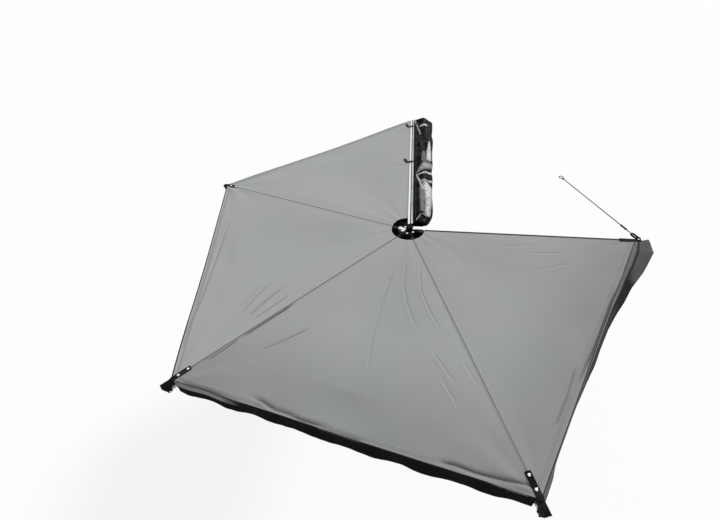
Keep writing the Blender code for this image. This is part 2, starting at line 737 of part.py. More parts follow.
def build_leg_foot(arm, slide):
    """The rubber foot on the inner tube's end."""
    tube_end = inner_tube_end()
    top = tube_end + FOOT_SOCKET
    bottom = top - FOOT_LENGTH
    bore, r, pad = INNER_RADIUS + CLEAR, FOOT_RADIUS, FOOT_PAD
    profile = [(bore, top), (r * 0.80, top), (r * 0.84, bottom + 1.7 * pad), (r, bottom + pad), (r, bottom + pad * 0.2)]
    profile += [(r * 0.9, bottom), (0.0, bottom), (0.0, tube_end - CLEAR), (bore, tube_end - CLEAR)]
    add_piece("leg_foot_" + arm, turned(profile, 16), "rubber", slide, rotation=ALONG_LEG, smooth=True)


def build_leg_clip(arm, axis):
    """The saddle that the stowed leg lies in: tabs on the boom's sides and a half-round channel below them."""
    pin_y = leg_pin(arm)[0]
    y = pin_y - LEG_LENGTH + CLIP_FROM_END
    half_width = BOOM_WIDTH / 2 + CLEAR + CLIP_WALL
    inside = BOOM_WIDTH / 2 + CLEAR
    under = -BOOM_HEIGHT / 2 - CLEAR
    groove = LEG_RADIUS + CLEAR
    body = [(-half_width, 0.0), (-half_width, -LEG_DROP - CLIP_REACH), (-groove, -LEG_DROP - CLIP_REACH)]
    body += arc((0.0, -LEG_DROP), groove, 180.0, 0.0, 12)
    body += [(groove, -LEG_DROP - CLIP_REACH), (half_width, -LEG_DROP - CLIP_REACH), (half_width, 0.0)]
    body += [(inside, 0.0), (inside, under), (-inside, under), (-inside, 0.0)]
    mesh = extrusion((body,), CLIP_LENGTH)
    add_piece("leg_clip_" + arm, mesh, "moulding", axis, (0.0, y, 0.0), (math.radians(90), 0.0, 0.0))


def build_leg(arm, axis):
    """A leg with its bracket, clip, bolt, tubes, collar and foot, stowed under its boom."""
    pin_y, pin_z = leg_pin(arm)
    swing = add_empty("leg_swing_" + arm, axis, (0.0, pin_y, pin_z))
    twist = add_empty("leg_twist_" + arm, swing)
    slide = add_empty("leg_slide_" + arm, swing)
    build_leg_bracket(arm, axis)
    build_leg_clip(arm, axis)
    build_leg_bolt(arm, swing)
    build_leg_outer(arm, swing)
    build_leg_collar(arm, twist)
    build_leg_inner(arm, slide)
    build_leg_foot(arm, slide)


def build_arm(arm, pivot):
    """One arm of the fan and all that it carries. Returns the empty on its boom's centre line."""
    droop = (-math.radians(DROOP_DEG), 0.0, 0.0)
    axis = add_empty("boom_axis_" + arm, pivot, (-PITCH / 2, 0.0, LINK_MID_Z), droop)
    build_link(arm, pivot)
    build_hinge_bolt(arm, pivot)
    build_boom(arm, axis)
    build_tip_plate(arm, axis)
    if arm in LEG_ARMS:
        build_leg(arm, axis)
    return axis


def build_arms(hub):
    """The chain of arms, each hung on the one before. Returns each boom's frame in the hub's frame."""
    pivot = hub
    place = (HINGE_X, 0.0, 0.0)
    frames = {}
    for arm in ARMS:
        pivot = add_empty("pivot_" + arm, pivot, place, (0.0, 0.0, math.radians(SWING_DEG[arm])))
        axis = build_arm(arm, pivot)
        bpy.context.view_layer.update()
        frames[arm] = hub.matrix_world.inverted() @ axis.matrix_world
        place = (-PITCH, 0.0, 0.0)
    return frames


def mix(a, b, t):
    """The point that is the share t of the way from a to b."""
    return a + (b - a) * t


def edge_lines(frames):
    """Root and tip of the canopy's five radial lines, at the cloth's middle height."""
    height = BOOM_HEIGHT / 2 + CANOPY_LIFT + CLOTH / 2
    rail_end = RAIL_START + RAIL_LENGTH
    lines = {"rail": (Vector((-CLEAR, HOLE_RADIUS, CANOPY_SLOT_Z)), Vector((-CLEAR, rail_end, CANOPY_SLOT_Z)))}
    for arm, frame in frames.items():
        direction = frame.to_3x3() @ Vector((0.0, 1.0, 0.0))
        start = frame @ Vector((0.0, 0.0, height))
        along = HOLE_RADIUS - start.xy.length * 0.5
        lines[arm] = (start + direction * along, start + direction * BOOM_REACH[arm])
    return lines


def panel_point(panel, u, v):
    """A point of a panel: u from the hub's hole to the outer edge, v from its first line to its second."""
    (root_a, tip_a), (root_b, tip_b), shift_a, shift_b = panel
    inner_a, outer_a = root_a + shift_a, tip_a + shift_a
    inner_b, outer_b = root_b + shift_b, tip_b + shift_b
    inner = mix(inner_a, inner_b, v)
    bulge = 0.5 * (inner_a.xy.length + inner_b.xy.length) - mix(inner_a.xy, inner_b.xy, 0.5).length
    outward = inner.xy.normalized() * bulge * math.sin(math.pi * v)
    inner = inner + Vector((*outward, 0.0))
    point = mix(inner, mix(outer_a, outer_b, v), u)
    across = math.sin(math.pi * v) ** 3
    sag = PANEL_SAG * across * math.sin(math.pi * u) ** 2 + EDGE_SAG * across * u ** 3
    place = (u - FOLD_START) / (FOLD_END - FOLD_START)
    ridge = math.sin(math.pi * place) if 0.0 < place < 1.0 else 0.0
    fold = FOLD_DEPTH * across * ridge * math.sin(FOLD_COUNT * math.pi * v) ** 2
    return point - Vector((0.0, 0.0, sag + fold))


def panels(frames):
    """The four panels, each as its two radial lines and the sideways shifts that part its seams."""
    lines = edge_lines(frames)
    order = ("rail",) + ARMS
    found = {}
    for first, second in zip(order, order[1:]):
        shift_a = Vector() if first == "rail" else frames[first].to_3x3() @ Vector((-SEAM_HALF, 0.0, 0.0))
        reach = HEM_OVER_END_BOOM if second == ARMS[-1] else -SEAM_HALF
        shift_b = frames[second].to_3x3() @ Vector((-reach, 0.0, reach * panel_tilt(second)))
        found[second] = (lines[first], lines[second], shift_a, shift_b)
    return found


def build_canopy(arm, panel, hub):
    """One canopy panel, a tensioned cloth from the hub's hole to the outer edge."""
    steps_u = [1.0 - (1.0 - i / PANEL_STEPS_OUT) ** 1.6 for i in range(PANEL_STEPS_OUT + 1)]
    steps_v = [i / PANEL_STEPS_ROUND for i in range(PANEL_STEPS_ROUND + 1)]
    rows = [[panel_point(panel, u, v) for v in steps_v] for u in steps_u]
    canopy = add_piece("canopy_" + arm, sheet(rows, CLOTH), "canopy_cloth", hub)
    if arm == ARMS[0]:
        add_keder(canopy)


def add_keder(canopy):
    """The bead on the first panel's straight edge, in the rail's round slot, and the web that holds it."""
    depth = keder_depth()
    start = HOLE_RADIUS + BEAD_END_AIR
    end = RAIL_START + RAIL_LENGTH - BEAD_END_AIR
    bead = rod(KEDER_SLOT_RADIUS - CLEAR * 1.5, end - start, 10)
    spot = (depth, (start + end) / 2, CANOPY_SLOT_Z)
    combine(canopy, bead, "UNION", spot, (math.radians(90), 0.0, 0.0))
    low = (-WEB_IN_PANEL, start, CANOPY_SLOT_Z - CLOTH / 2)
    high = (depth, end, CANOPY_SLOT_Z + CLOTH / 2)
    combine(canopy, block(low, high), "UNION")


def build_valance(arm, panel, hub):
    """The dark skirt that hangs from a panel's outer edge in soft waves; the last one flares at its end."""
    start, end = panel_point(panel, 1.0, 0.0), panel_point(panel, 1.0, 1.0)
    span = (end - start).length
    end_air = CORNER_AIR + (HEM_OVER_END_BOOM * 1.2 if arm == ARMS[-1] else 0.0)
    first, last = CORNER_AIR / span, 1.0 - end_air / span
    outward = (end - start).cross(Vector((0.0, 0.0, 1.0))).normalized()
    if outward.dot(start) < 0:
        outward = -outward
    rows = []
    waves = round(span / VALANCE_WAVE_LENGTH)
    for row in range(VALANCE_ROWS + 1):
        drop = row / VALANCE_ROWS
        line = []
        for i in range(VALANCE_STEPS + 1):
            t = i / VALANCE_STEPS
            v = mix(first, last, t)
            top = panel_point(panel, 1.0, v)
            wave = VALANCE_WAVE * drop * (1.0 + math.sin(2 * math.pi * waves * t))
            lift = 0.0
            if arm == ARMS[-1]:
                lift = max(0.0, (t - VALANCE_FLARE_START) / (1.0 - VALANCE_FLARE_START)) ** 0.8
            flare = VALANCE_FLARE * lift
            fall = math.sqrt(VALANCE_DROP ** 2 - flare ** 2)
            lean = (end - start) * (VALANCE_LEAN * drop * lift ** 8 / span)
            offset = outward * (CLEAR + VALANCE_CLOTH / 2 + wave + flare * drop) + lean
            line.append(top + offset + Vector((0.0, 0.0, CLOTH / 2 - fall * drop)))
        rows.append(line)
    add_piece("valance_" + arm, sheet(rows, VALANCE_CLOTH), "dark_cloth", hub)


def build_rack_bracket(place, hub):
    """One rack bracket: a bent plate bolted in the rail's T-slot, its slotted foot on the crossbar."""
    foot = -HUB_Z
    t, bend = BRACKET_THICKNESS, BRACKET_BEND
    left = RAIL_WIDTH + CLEAR
    top = foot + t
    outline = [(left, top - bend - t)] + arc((left + bend + t, top - bend - t), bend + t, 180.0, 90.0, 4)
    outline += [(left + BRACKET_REACH, top), (left + BRACKET_REACH, foot)]
    outline += arc((left + bend + t, foot - bend), bend, 90.0, 180.0, 3)
    outline += [(left + t, foot - BRACKET_LEG), (left, foot - BRACKET_LEG)]
    turn = (math.radians(90), 0.0, 0.0)
    shape = extrusion((outline,), BRACKET_WIDTH)
    bracket = add_piece("rack_bracket_" + place, shape, "black_steel", hub, (0.0, BRACKET_Y[place], 0.0), turn)
    slot_x = left + t + BRACKET_REACH * 0.52
    slot_outline = rounded_rectangle(FOOT_SLOT_LENGTH, FOOT_SLOT_WIDTH, FOOT_SLOT_WIDTH / 2 - CLEAR, steps=3)
    for side in (-1, 1):
        spot = (slot_x, foot + t / 2, side * FOOT_SLOT_SPREAD / 2)
        slot = extrusion((slot_outline,), 4 * t)
        combine(bracket, slot, "DIFFERENCE", spot, (math.radians(-90), 0.0, 0.0))
        spot = (0.0, TEE_Z, side * TEE_BOLT_SPREAD / 2)
        combine(bracket, tee_bolt(), "UNION", spot, (0.0, math.radians(90), 0.0))


def tee_bolt():
    """A bolt along Z from the rail's T-slot out through the bracket's leg, its head outside."""
    lip = RAIL_WIDTH - TEE_LIP - CLEAR
    floor = lip - TEE_DEPTH * 0.6
    face = RAIL_WIDTH + CLEAR + BRACKET_THICKNESS
    top = face + TEE_BOLT_HEAD_HEIGHT
    shank, head, nut = TEE_BOLT_SHANK, TEE_BOLT_HEAD * 0.85, TEE_BOLT_HEAD
    profile = [(0.0, top), (head, top), (head, face), (shank, face - BRACKET_THICKNESS * 0.2), (shank, lip)]
    profile += [(nut, lip), (nut, floor), (0.0, floor)]
    return turned(profile, 8)


def cover_section(y):
    """Outline of the travel cover across the rail at one place along it: from the slot over it and back."""
    share = (y - COVER_START) / COVER_LENGTH
    ends = max(0.0, min(1.0, share / COVER_REAR_TAPER, (1.0 - share) / COVER_FRONT_TAPER))
    full = math.sqrt(1.0 - (1.0 - ends) ** 2)
    pinch = sum(math.exp(-((y - BRACKET_Y[p]) / COVER_PINCH_LENGTH) ** 2) for p in BRACKET_Y)
    ripple = 0.12 * math.sin(23.0 * y) + 0.09 * math.sin(41.0 * y + 1.0)
    crown = COVER_CROWN * (0.12 + 0.88 * full) * (1.0 - 0.30 * pinch) * (1.0 + ripple)
    edge = COVER_EDGE_X + COVER_SPREAD * (share - 0.5) - 0.012 * pinch + 0.004 * math.sin(9.0 * y)
    edge -= COVER_END_DRAW * (1.0 - full)
    near = RAIL_WIDTH + 2 * COVER_SHOULDER
    half = COVER_CLOTH / 2
    over = CLEAR + COVER_CLOTH
    tongue = CANOPY_SLOT_Z + KEDER_SLOT_RADIUS - COVER_CLOTH / 2
    shoulder = RAIL_WIDTH + COVER_SHOULDER / 2
    points = [(COVER_SLOT_X - half, tongue), (COVER_SLOT_X - half, over), (shoulder, over)]
    for i in range(COVER_STEPS + 1):
        t = i / COVER_STEPS
        hump = math.sin(math.pi * min(1.0, 0.08 + 0.92 * t)) ** 0.7
        lump = 1.0 + 0.16 * math.sin(2.5 * math.pi * t + 5.0 * y)
        rise = crown * hump * lump * (1 - t ** 6)
        points.append((mix(near, edge, t), mix(over, COVER_FLOOR_Z + COVER_HEM, t) + rise))
    points += [(x, COVER_FLOOR_Z) for x in (edge - COVER_SHOULDER, mix(near, edge, 0.5), near + COVER_SHOULDER)]
    points += [(near - COVER_SHOULDER, CLEAR - COVER_CLOTH), (shoulder, CLEAR)]
    points += [(COVER_SLOT_X + half, CLEAR), (COVER_SLOT_X + half, tongue)]
    return points


def build_travel_cover(hub):
    """The emptied travel cover: held in the rail's top slot, slumped inboard over the brackets."""
    rings = []
    for i in range(COVER_STATIONS + 1):
        share = 0.5 - 0.5 * math.cos(math.pi * i / COVER_STATIONS)
        y = COVER_START + COVER_LENGTH * mix(i / COVER_STATIONS, share, 0.6)
        rings.append([(x, y, z) for x, z in cover_section(y)])
    add_piece("travel_cover", lofted(rings), "cover_cloth", hub)


def strap_rows(place, panel):
    """Points across a tie strap, row after row: flat over the rail, then down to the canopy, out and forward."""
    y, bend = STRAP_Y[place], STRAP_BEND
    over = 2 * CLEAR + COVER_CLOTH + STRAP_THICKNESS / 2
    seat = CLOTH / 2 + 2 * CLEAR + STRAP_THICKNESS / 2
    edges = (-STRAP_WIDTH / 2, 0.0, STRAP_WIDTH / 2)
    rows = []
    for x, z in ((RAIL_WIDTH - bend / 2, over), (bend / 4, over), (-bend, over - bend / 2)):
        rows.append([Vector((x, y + w, z)) for w in edges])
    at = Vector((-2.25 * bend, y, 0.0))
    for i in range(STRAP_STEPS + 1):
        share = i / STRAP_STEPS
        turn = math.radians(STRAP_TURN_DEG) * math.sin(math.pi * share) ** 0.6
        side = Vector((math.sin(turn), math.cos(turn), 0.0))
        lift = STRAP_RISE * share ** 2 + (bend * 0.75 if i == 0 else 0.0)
        row = [at + side * w for w in edges]
        for point in row:
            point.z = canopy_height(panel, point.x, point.y) + seat + lift
        rows.append(row)
        at = at + Vector((-math.cos(turn), math.sin(turn), 0.0)) * (STRAP_TAIL / STRAP_STEPS)
    return rows


def build_tie_strap(place, panel, hub):
    """A webbing tie from the travel cover over the rail, its tail curving forward on the canopy."""
    mesh = sheet(strap_rows(place, panel), STRAP_THICKNESS)
    add_piece("tie_strap_" + place, mesh, "webbing", hub)


def canopy_height(panel, x, y):
    """Height of the first panel's middle surface beside the rail, at the place y along it."""
    u = (y - HOLE_RADIUS) / (RAIL_START + RAIL_LENGTH - HOLE_RADIUS)
    far = panel_point(panel, u, 1.0)
    return panel_point(panel, u, x / far.x).z


def build_guy(frames, hub):
    """The guy line: a ring in the end plate's eye, a hook, a cord with its tensioner and the tied end eye."""
    end = Vector(GUY_END)
    eye = frames[ARMS[-1]] @ Vector((0.0, ring_eye_y(), plate_middle_z(ARMS[-1])))
    line = (end - eye).normalized()
    level = line.cross(Vector((0.0, 0.0, 1.0))).normalized()
    rise = level.cross(line).normalized()
    slack = RING_EYE_RADIUS - RING_WIRE - 2 * CLEAR
    ring_middle = eye + line * (slack + RING_RADIUS)
    ring = loop_points(ring_middle, line, rise, RING_RADIUS)
    add_piece("corner_ring", tube_path(ring, RING_WIRE, closed=True), "bright_steel", hub, smooth=True)
    half = HOOK_WIDTH / 2
    near = ring_middle + line * (RING_RADIUS - RING_WIRE - HOOK_WIRE - CLEAR + half)
    far = near + line * (HOOK_LENGTH - HOOK_WIDTH)
    hook = loop_points(near, level, -line, half, 7, 0.5) + loop_points(far, -level, line, half, 7, 0.5)
    add_piece("guy_hook", tube_path(hook, HOOK_WIRE, closed=True), "black_casting", hub, smooth=True)
    cord_start = far + line * (half + HOOK_WIRE + CLEAR)
    cord_end = end - line * (GUY_EYE_RADIUS + GUY_RADIUS + CLEAR)
    points = [mix(cord_start, cord_end, i / (GUY_POINTS - 1)) for i in range(GUY_POINTS)]
    add_piece("guy_cord", tube_path(points, GUY_RADIUS), "cord", hub, smooth=True)
    eye_loop = loop_points(end, line, level, GUY_EYE_RADIUS)
    add_piece("guy_eye", tube_path(eye_loop, GUY_RADIUS, closed=True), "cord", hub, smooth=True)
    middle = cord_start + line * (TENSIONER_FROM_HOOK + TENSIONER_LENGTH / 2)
    turn = line.to_track_quat("Z", "Y").to_euler()
    add_piece("guy_tensioner", tensioner(), "moulding", hub, middle, turn, smooth=True)


def loop_points(middle, first, second, radius, steps=16, turns=1.0):
    """Points along a round bend that starts at the first direction and turns to the second."""
    count = steps if turns == 1.0 else steps + 1
    angles = [2 * math.pi * turns * i / steps for i in range(count)]
    return [middle + first * (radius * math.cos(a)) + second * (radius * math.sin(a)) for a in angles]


def tensioner():
    """The waisted slider on the guy cord, along Z."""
    bore, r, half = GUY_RADIUS + CLEAR, TENSIONER_RADIUS, TENSIONER_LENGTH / 2
    upper = [(bore, half), (r * 0.7, half), (r, half * 0.6)]
    lower = [(radius, -z) for radius, z in reversed(upper)]
    return turned(upper + [(r * 0.8, 0.0)] + lower, 12)


def add_finishes():
    """The awning's materials."""
    add_finish("aluminium", (0.62, 0.63, 0.64), 0.35, 1.0)
    add_finish("grey_casting", (0.25, 0.26, 0.27), 0.45, 1.0)
    add_finish("black_casting", (0.015, 0.015, 0.016), 0.45)
    add_finish("black_steel", (0.020, 0.020, 0.021), 0.50)
    add_finish("bright_steel", (0.75, 0.76, 0.77), 0.20, 1.0)
    add_finish("leg_tube", (0.30, 0.31, 0.32), 0.40, 1.0)
    add_finish("moulding", (0.020, 0.020, 0.022), 0.55)
    add_finish("rubber", (0.015, 0.015, 0.015), 0.85)
    add_finish("canopy_cloth", (0.33, 0.35, 0.34), 0.85)
    add_finish("dark_cloth", (0.012, 0.011, 0.010), 0.80)
    add_finish("cover_cloth", (0.015, 0.015, 0.018), 0.25)
    add_finish("webbing", (0.020, 0.020, 0.020), 0.80)
    add_finish("cord", (0.015, 0.015, 0.015), 0.75)


def main():
    """Builds the whole awning."""
    global PARTS, GUIDES
    clear_scene()
    PARTS = new_collection("vehicle_side_awning")
    GUIDES = new_collection("guides")
    add_finishes()
    hub = add_empty("hub", None, (HUB_X, HUB_Y, HUB_Z))
    build_rail(hub)
    build_rail_cap(hub)
    build_hinge_base(hub)
    build_hub_guard(hub)
    for place in BRACKET_Y:
        build_rack_bracket(place, hub)
    frames = build_arms(hub)
    cloth = panels(frames)
    for arm, panel in cloth.items():
        build_canopy(arm, panel, hub)
        build_valance(arm, panel, hub)
    build_travel_cover(hub)
    for place in STRAP_Y:
        build_tie_strap(place, cloth[ARMS[0]], hub)
    build_guy(frames, hub)


main()
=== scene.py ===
"""The looks of a fan-shaped vehicle side awning: cloth, webbing, cover, guy line, finishes, light and camera.

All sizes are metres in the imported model's row frame: +Z is up, +Y runs forward along the base rail and +X points
inboard. The fan's own sums are done about its hub, which is the rear outboard top corner of the rail's line.
"""
import logging
import math
from dataclasses import dataclass, field
from enum import Enum

import bmesh
import bpy
import numpy as np
from mathutils import Matrix, Vector, noise


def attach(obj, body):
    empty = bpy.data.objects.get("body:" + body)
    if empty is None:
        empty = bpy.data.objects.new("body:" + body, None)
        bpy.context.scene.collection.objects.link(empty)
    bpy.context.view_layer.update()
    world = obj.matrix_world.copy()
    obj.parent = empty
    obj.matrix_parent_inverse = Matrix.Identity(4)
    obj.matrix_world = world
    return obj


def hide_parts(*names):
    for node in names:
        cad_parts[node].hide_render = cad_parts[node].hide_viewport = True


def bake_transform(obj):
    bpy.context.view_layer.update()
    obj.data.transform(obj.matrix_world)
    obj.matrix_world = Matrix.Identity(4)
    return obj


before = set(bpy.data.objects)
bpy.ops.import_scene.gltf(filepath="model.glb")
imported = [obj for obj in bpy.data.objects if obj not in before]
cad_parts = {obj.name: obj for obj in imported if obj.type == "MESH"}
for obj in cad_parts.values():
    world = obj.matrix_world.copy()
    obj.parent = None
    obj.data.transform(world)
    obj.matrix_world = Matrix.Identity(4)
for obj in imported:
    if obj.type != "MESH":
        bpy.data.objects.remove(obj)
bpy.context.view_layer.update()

Rgb = tuple[float, float, float]
Point = tuple[float, float, float]
Pair = tuple[float, float]
Array = np.ndarray
Socket = bpy.types.NodeSocket
Node = bpy.types.Node
Tree = bpy.types.NodeTree
Material = bpy.types.Material
Mesh = bpy.types.Mesh
Piece = bpy.types.Object

LOG = logging.getLogger("side_awning")
UV_NAME = "metres"
HEM_NAME = "from_hem"
SEAM_NAME = "from_seam"
PAINTED_SHADE_NAME = "painted_shade_share"
# Real worn coating and pale facing on the skirts; painted highlights on the travel cover.
COATING_AND_HIGHLIGHT_NAME = "coating_and_painted_highlight"
WHITE = (1.0, 1.0, 1.0, 1.0)
WELD = 1e-6
THREAD_LIFT = 0.0002


class Arm(Enum):
    """The fan's arms, in the order in which they open."""

    FRONT = "front"
    SIDE = "side"
    REAR = "rear"
    END = "end"

    @property
    def body(self) -> str:
        """The body that the arm is."""
        return "arm_" + self.value


class NodeSheet:
    """A node tree that is laid out one node at a time."""

    def __init__(self, tree: Tree) -> None:
        """Starts on a tree."""
        self.tree = tree

    @classmethod
    def group(cls, name: str, kind: str, inputs: dict[str, str],
              outputs: dict[str, str]) -> tuple["NodeSheet", list[Socket]]:
        """Starts a node group.

        Args:
            name: The group's name.
            kind: Shader or Geometry.
            inputs: The kind of each of its inputs.
            outputs: The kind of each of its outputs.

        Returns:
            Its sheet and what its inputs give.
        """
        tree = bpy.data.node_groups.new(name, kind + "NodeTree")
        for way, sockets in (("INPUT", inputs), ("OUTPUT", outputs)):
            for label, value in sockets.items():
                tree.interface.new_socket(name=label, in_out=way, socket_type="NodeSocket" + value)
        sheet = cls(tree)
        return sheet, list(sheet.node("NodeGroupInput").outputs)[:len(inputs)]

    def node(self, kind: str, inputs: dict[str | int, object] | None = None, **settings: object) -> Node:
        """Adds a node.

        Args:
            kind: The node's type name.
            inputs: What its inputs get, by name or number.
            **settings: Properties to set on it.

        Returns:
            The new node.
        """
        made = self.tree.nodes.new(kind)
        for name, value in settings.items():
            setattr(made, name, value)
        self.feed(made, inputs or {})
        return made

    def feed(self, node: Node, inputs: dict[str | int, object]) -> None:
        """Links a node's inputs to other sockets, or sets their values.

        Args:
            node: The node.
            inputs: An output socket or a plain value for each input, by name or number.
        """
        for key, value in inputs.items():
            if isinstance(value, Socket):
                self.tree.links.new(value, node.inputs[key])
            else:
                node.inputs[key].default_value = value

    def math(self, operation: str, a: object, b: object = 0.0, clamp: bool = False) -> Socket:
        """The result of a Math node, kept within 0 and 1 where clamp is set."""
        return self.node("ShaderNodeMath", {0: a, 1: b}, operation=operation, use_clamp=clamp).outputs[0]

    def times(self, a: object, b: object) -> Socket:
        """The product of two values."""
        return self.math("MULTIPLY", a, b)

    def ramp(self, value: object, low: float, high: float, start: float = 0.0, end: float = 1.0) -> Socket:
        """A smooth change from start, up to low, to end, from high on."""
        limits = {"Value": value, "From Min": low, "From Max": high, "To Min": start, "To Max": end}
        return self.node("ShaderNodeMapRange", limits, interpolation_type="SMOOTHSTEP").outputs["Result"]

    def scaled(self, vector: Socket, factors: Point) -> Socket:
        """A vector stretched along its axes."""
        return self.node("ShaderNodeVectorMath", {0: vector, 1: factors}, operation="MULTIPLY").outputs[0]

    def turned(self, vector: Socket, angle: float) -> Socket:
        """A vector turned about Z by an angle in radians."""
        inputs = {"Vector": vector, "Rotation": (0.0, 0.0, angle)}
        return self.node("ShaderNodeMapping", inputs, vector_type="POINT").outputs[0]

    def noise(self, vector: Socket, scale: object, detail: float = 3.0, roughness: float = 0.5) -> Socket:
        """A noise pattern, 0.5 on average, with so many bumps in a metre and so many finer layers of this strength."""
        inputs = {"Vector": vector, "Scale": scale, "Detail": detail, "Roughness": roughness}
        return self.node("ShaderNodeTexNoise", inputs, noise_dimensions="3D").outputs["Fac"]

    def blend(self, share: object, a: object, b: object) -> Socket:
        """A mix of two colours, with this share of the second."""
        inputs = {0: share} | {i: (*c, 1.0) if isinstance(c, tuple) else c for i, c in ((6, a), (7, b))}
        return self.node("ShaderNodeMix", inputs, data_type="RGBA", blend_type="MIX").outputs[2]

    def bump(self, height: object, strength: float, distance: float, under: Socket | None = None) -> Socket:
        """The normal of a bump that lies on another; a height of 1 stands for the distance, in metres."""
        inputs = {"Strength": strength, "Distance": distance, "Height": height}
        return self.node("ShaderNodeBump", inputs | ({} if under is None else {"Normal": under})).outputs["Normal"]

    def attribute(self, name: str) -> Socket:
        """A value that the mesh carries."""
        return self.node("ShaderNodeAttribute", attribute_name=name).outputs["Fac"]

    def object_place(self) -> Socket:
        """The place in the piece's own frame."""
        return self.node("ShaderNodeTexCoord").outputs["Object"]

    def cloth_place(self) -> Socket:
        """The place on the flat cloth, in metres."""
        return self.node("ShaderNodeUVMap", uv_map=UV_NAME).outputs["UV"]

    def end(self, **outputs: Socket) -> Tree:
        """Ends a node group with what it gives."""
        self.node("NodeGroupOutput", outputs)
        return self.tree

    def axes(self, vector: Socket) -> list[Socket]:
        """The three parts of a vector."""
        return list(self.node("ShaderNodeSeparateXYZ", {0: vector}).outputs)

    def seen_as(self, lit: Socket, shown: Socket, share: float) -> Socket:
        """A shader that lights as one, but shows as another to the camera and in metal and glass.

        Args:
            lit: The shader that lights the scene.
            shown: The shader that is seen.
            share: How much of that one there is.

        Returns:
            The mixed shader.
        """
        path = self.node("ShaderNodeLightPath").outputs
        seen = self.math("MAXIMUM", path["Is Camera Ray"], path["Is Glossy Ray"])
        seen = self.math("MAXIMUM", seen, path["Is Transmission Ray"])
        return self.node("ShaderNodeMixShader", {0: self.times(seen, share), 1: lit, 2: shown}).outputs[0]


class Effects:
    """Effects that several finishes share, each a node group that is built once."""

    TAKES = {"Vector": "Vector", "Value": "Float"}

    def __init__(self) -> None:
        """Starts with none of them built."""
        self.groups: dict[str, Tree] = {}

    def place(self, sheet: NodeSheet, name: str, vector: Socket, value: float) -> dict[str, Socket]:
        """Places an effect in a material.

        Args:
            sheet: The material's nodes.
            name: The effect's name.
            vector: Where it is read.
            value: Its pitch in metres, or how many bumps it has in a metre.

        Returns:
            The effect's outputs.
        """
        if name not in self.groups:
            self.groups[name] = getattr(self, "_" + name)()
        made = sheet.node("ShaderNodeGroup", {0: vector, 1: value}, node_tree=self.groups[name])
        return dict(made.outputs.items())

    def _weave(self) -> Tree:
        """Plain weave: threads over and under each other, with slubs.

        Returns:
            The group.
        """
        sheet, (at, pitch) = NodeSheet.group("weave", "Shader", self.TAKES, {"Height": "Float", "Slub": "Float"})
        turns = [sheet.times(sheet.math("DIVIDE", part, pitch), math.pi) for part in sheet.axes(at)[:2]]
        woven = sheet.times(*(sheet.math("SINE", turn) for turn in turns))
        across, along = (sheet.noise(sheet.scaled(at, f), 1.0, 2.0) for f in ((6.0, 420.0, 1.0), (420.0, 6.0, 1.0)))
        slub = sheet.times(sheet.math("ADD", across, along), 0.5)
        return sheet.end(Height=sheet.math("ADD", sheet.times(woven, 0.5), 0.5), Slub=slub)

    def _soiling(self) -> Tree:
        """Dust that settles on what faces up, in soft patches.

        Returns:
            The group.
        """
        sheet, (at, scale) = NodeSheet.group("soiling", "Shader", self.TAKES, {"Mask": "Float"})
        patches = sheet.ramp(sheet.noise(at, scale, 5.0, 0.6), 0.42, 0.72)
        upward = sheet.ramp(sheet.axes(sheet.node("ShaderNodeNewGeometry").outputs["Normal"])[2], 0.1, 0.9)
        return sheet.end(Mask=sheet.times(patches, upward))

    def _grain(self) -> Tree:
        """The fine, even grain of powder coat, mouldings and castings.

        Returns:
            The group.
        """
        sheet, (at, scale) = NodeSheet.group("grain", "Shader", self.TAKES, {"Height": "Float", "Cloud": "Float"})
        return sheet.end(Height=sheet.noise(at, scale, 2.0), Cloud=sheet.noise(at, 14.0, 4.0, 0.6))

    def _scuffs(self) -> Tree:
        """Rubbed places and short scratches.

        Returns:
            The group.
        """
        sheet, (at, scale) = NodeSheet.group("scuffs", "Shader", self.TAKES, {"Mask": "Float"})
        rubbed = sheet.ramp(sheet.noise(at, scale, 6.0, 0.7), 0.60, 0.74)
        scratched = sheet.ramp(sheet.noise(sheet.scaled(at, (900.0, 70.0, 240.0)), 1.0, 1.0), 0.68, 0.74)
        return sheet.end(Mask=sheet.math("ADD", rubbed, sheet.times(scratched, 0.35), clamp=True))

    def _crumple(self) -> Tree:
        """Small facets and creases, as in a coated cloth that has been rolled up.

        Returns:
            The group.
        """
        sheet, (at, scale) = NodeSheet.group("crumple", "Shader", self.TAKES, {"Height": "Float"})
        colour = sheet.node("ShaderNodeTexNoise", {"Vector": at, "Scale": 5.0}).outputs["Color"]
        inputs = {0: colour, 1: (0.12, 0.12, 0.12), 2: at}
        shifted = sheet.node("ShaderNodeVectorMath", inputs, operation="MULTIPLY_ADD").outputs[0]
        cells = sheet.node("ShaderNodeTexVoronoi", {"Vector": shifted, "Scale": scale}, feature="F1",
                           distance="EUCLIDEAN").outputs["Distance"]
        fine = sheet.times(sheet.noise(at, 60.0, 4.0, 0.55), 0.3)
        return sheet.end(Height=sheet.math("ADD", cells, fine))


EFFECTS = Effects()


@dataclass(frozen=True)
class Finish:
    """What every finish has."""

    name: str
    colour: Rgb
    roughness: float
    specular: float = 0.5
    sheen: float = 0.0

    def start(self) -> tuple[Material, NodeSheet, Node]:
        """Makes the material with its one shader.

        Returns:
            The material, its sheet and its Principled BSDF.
        """
        material = bpy.data.materials.new(self.name)
        material.use_nodes = True
        sheet, shader = NodeSheet(material.node_tree), material.node_tree.nodes["Principled BSDF"]
        sheet.feed(shader, {"Base Color": (*self.colour, 1.0), "Roughness": self.roughness,
                            "Specular IOR Level": self.specular, "Sheen Weight": self.sheen})
        return material, sheet, shader

    def shade(self, share: float) -> Rgb:
        """The finish's colour, made lighter or darker."""
        return tuple(min(1.0, channel * share) for channel in self.colour)


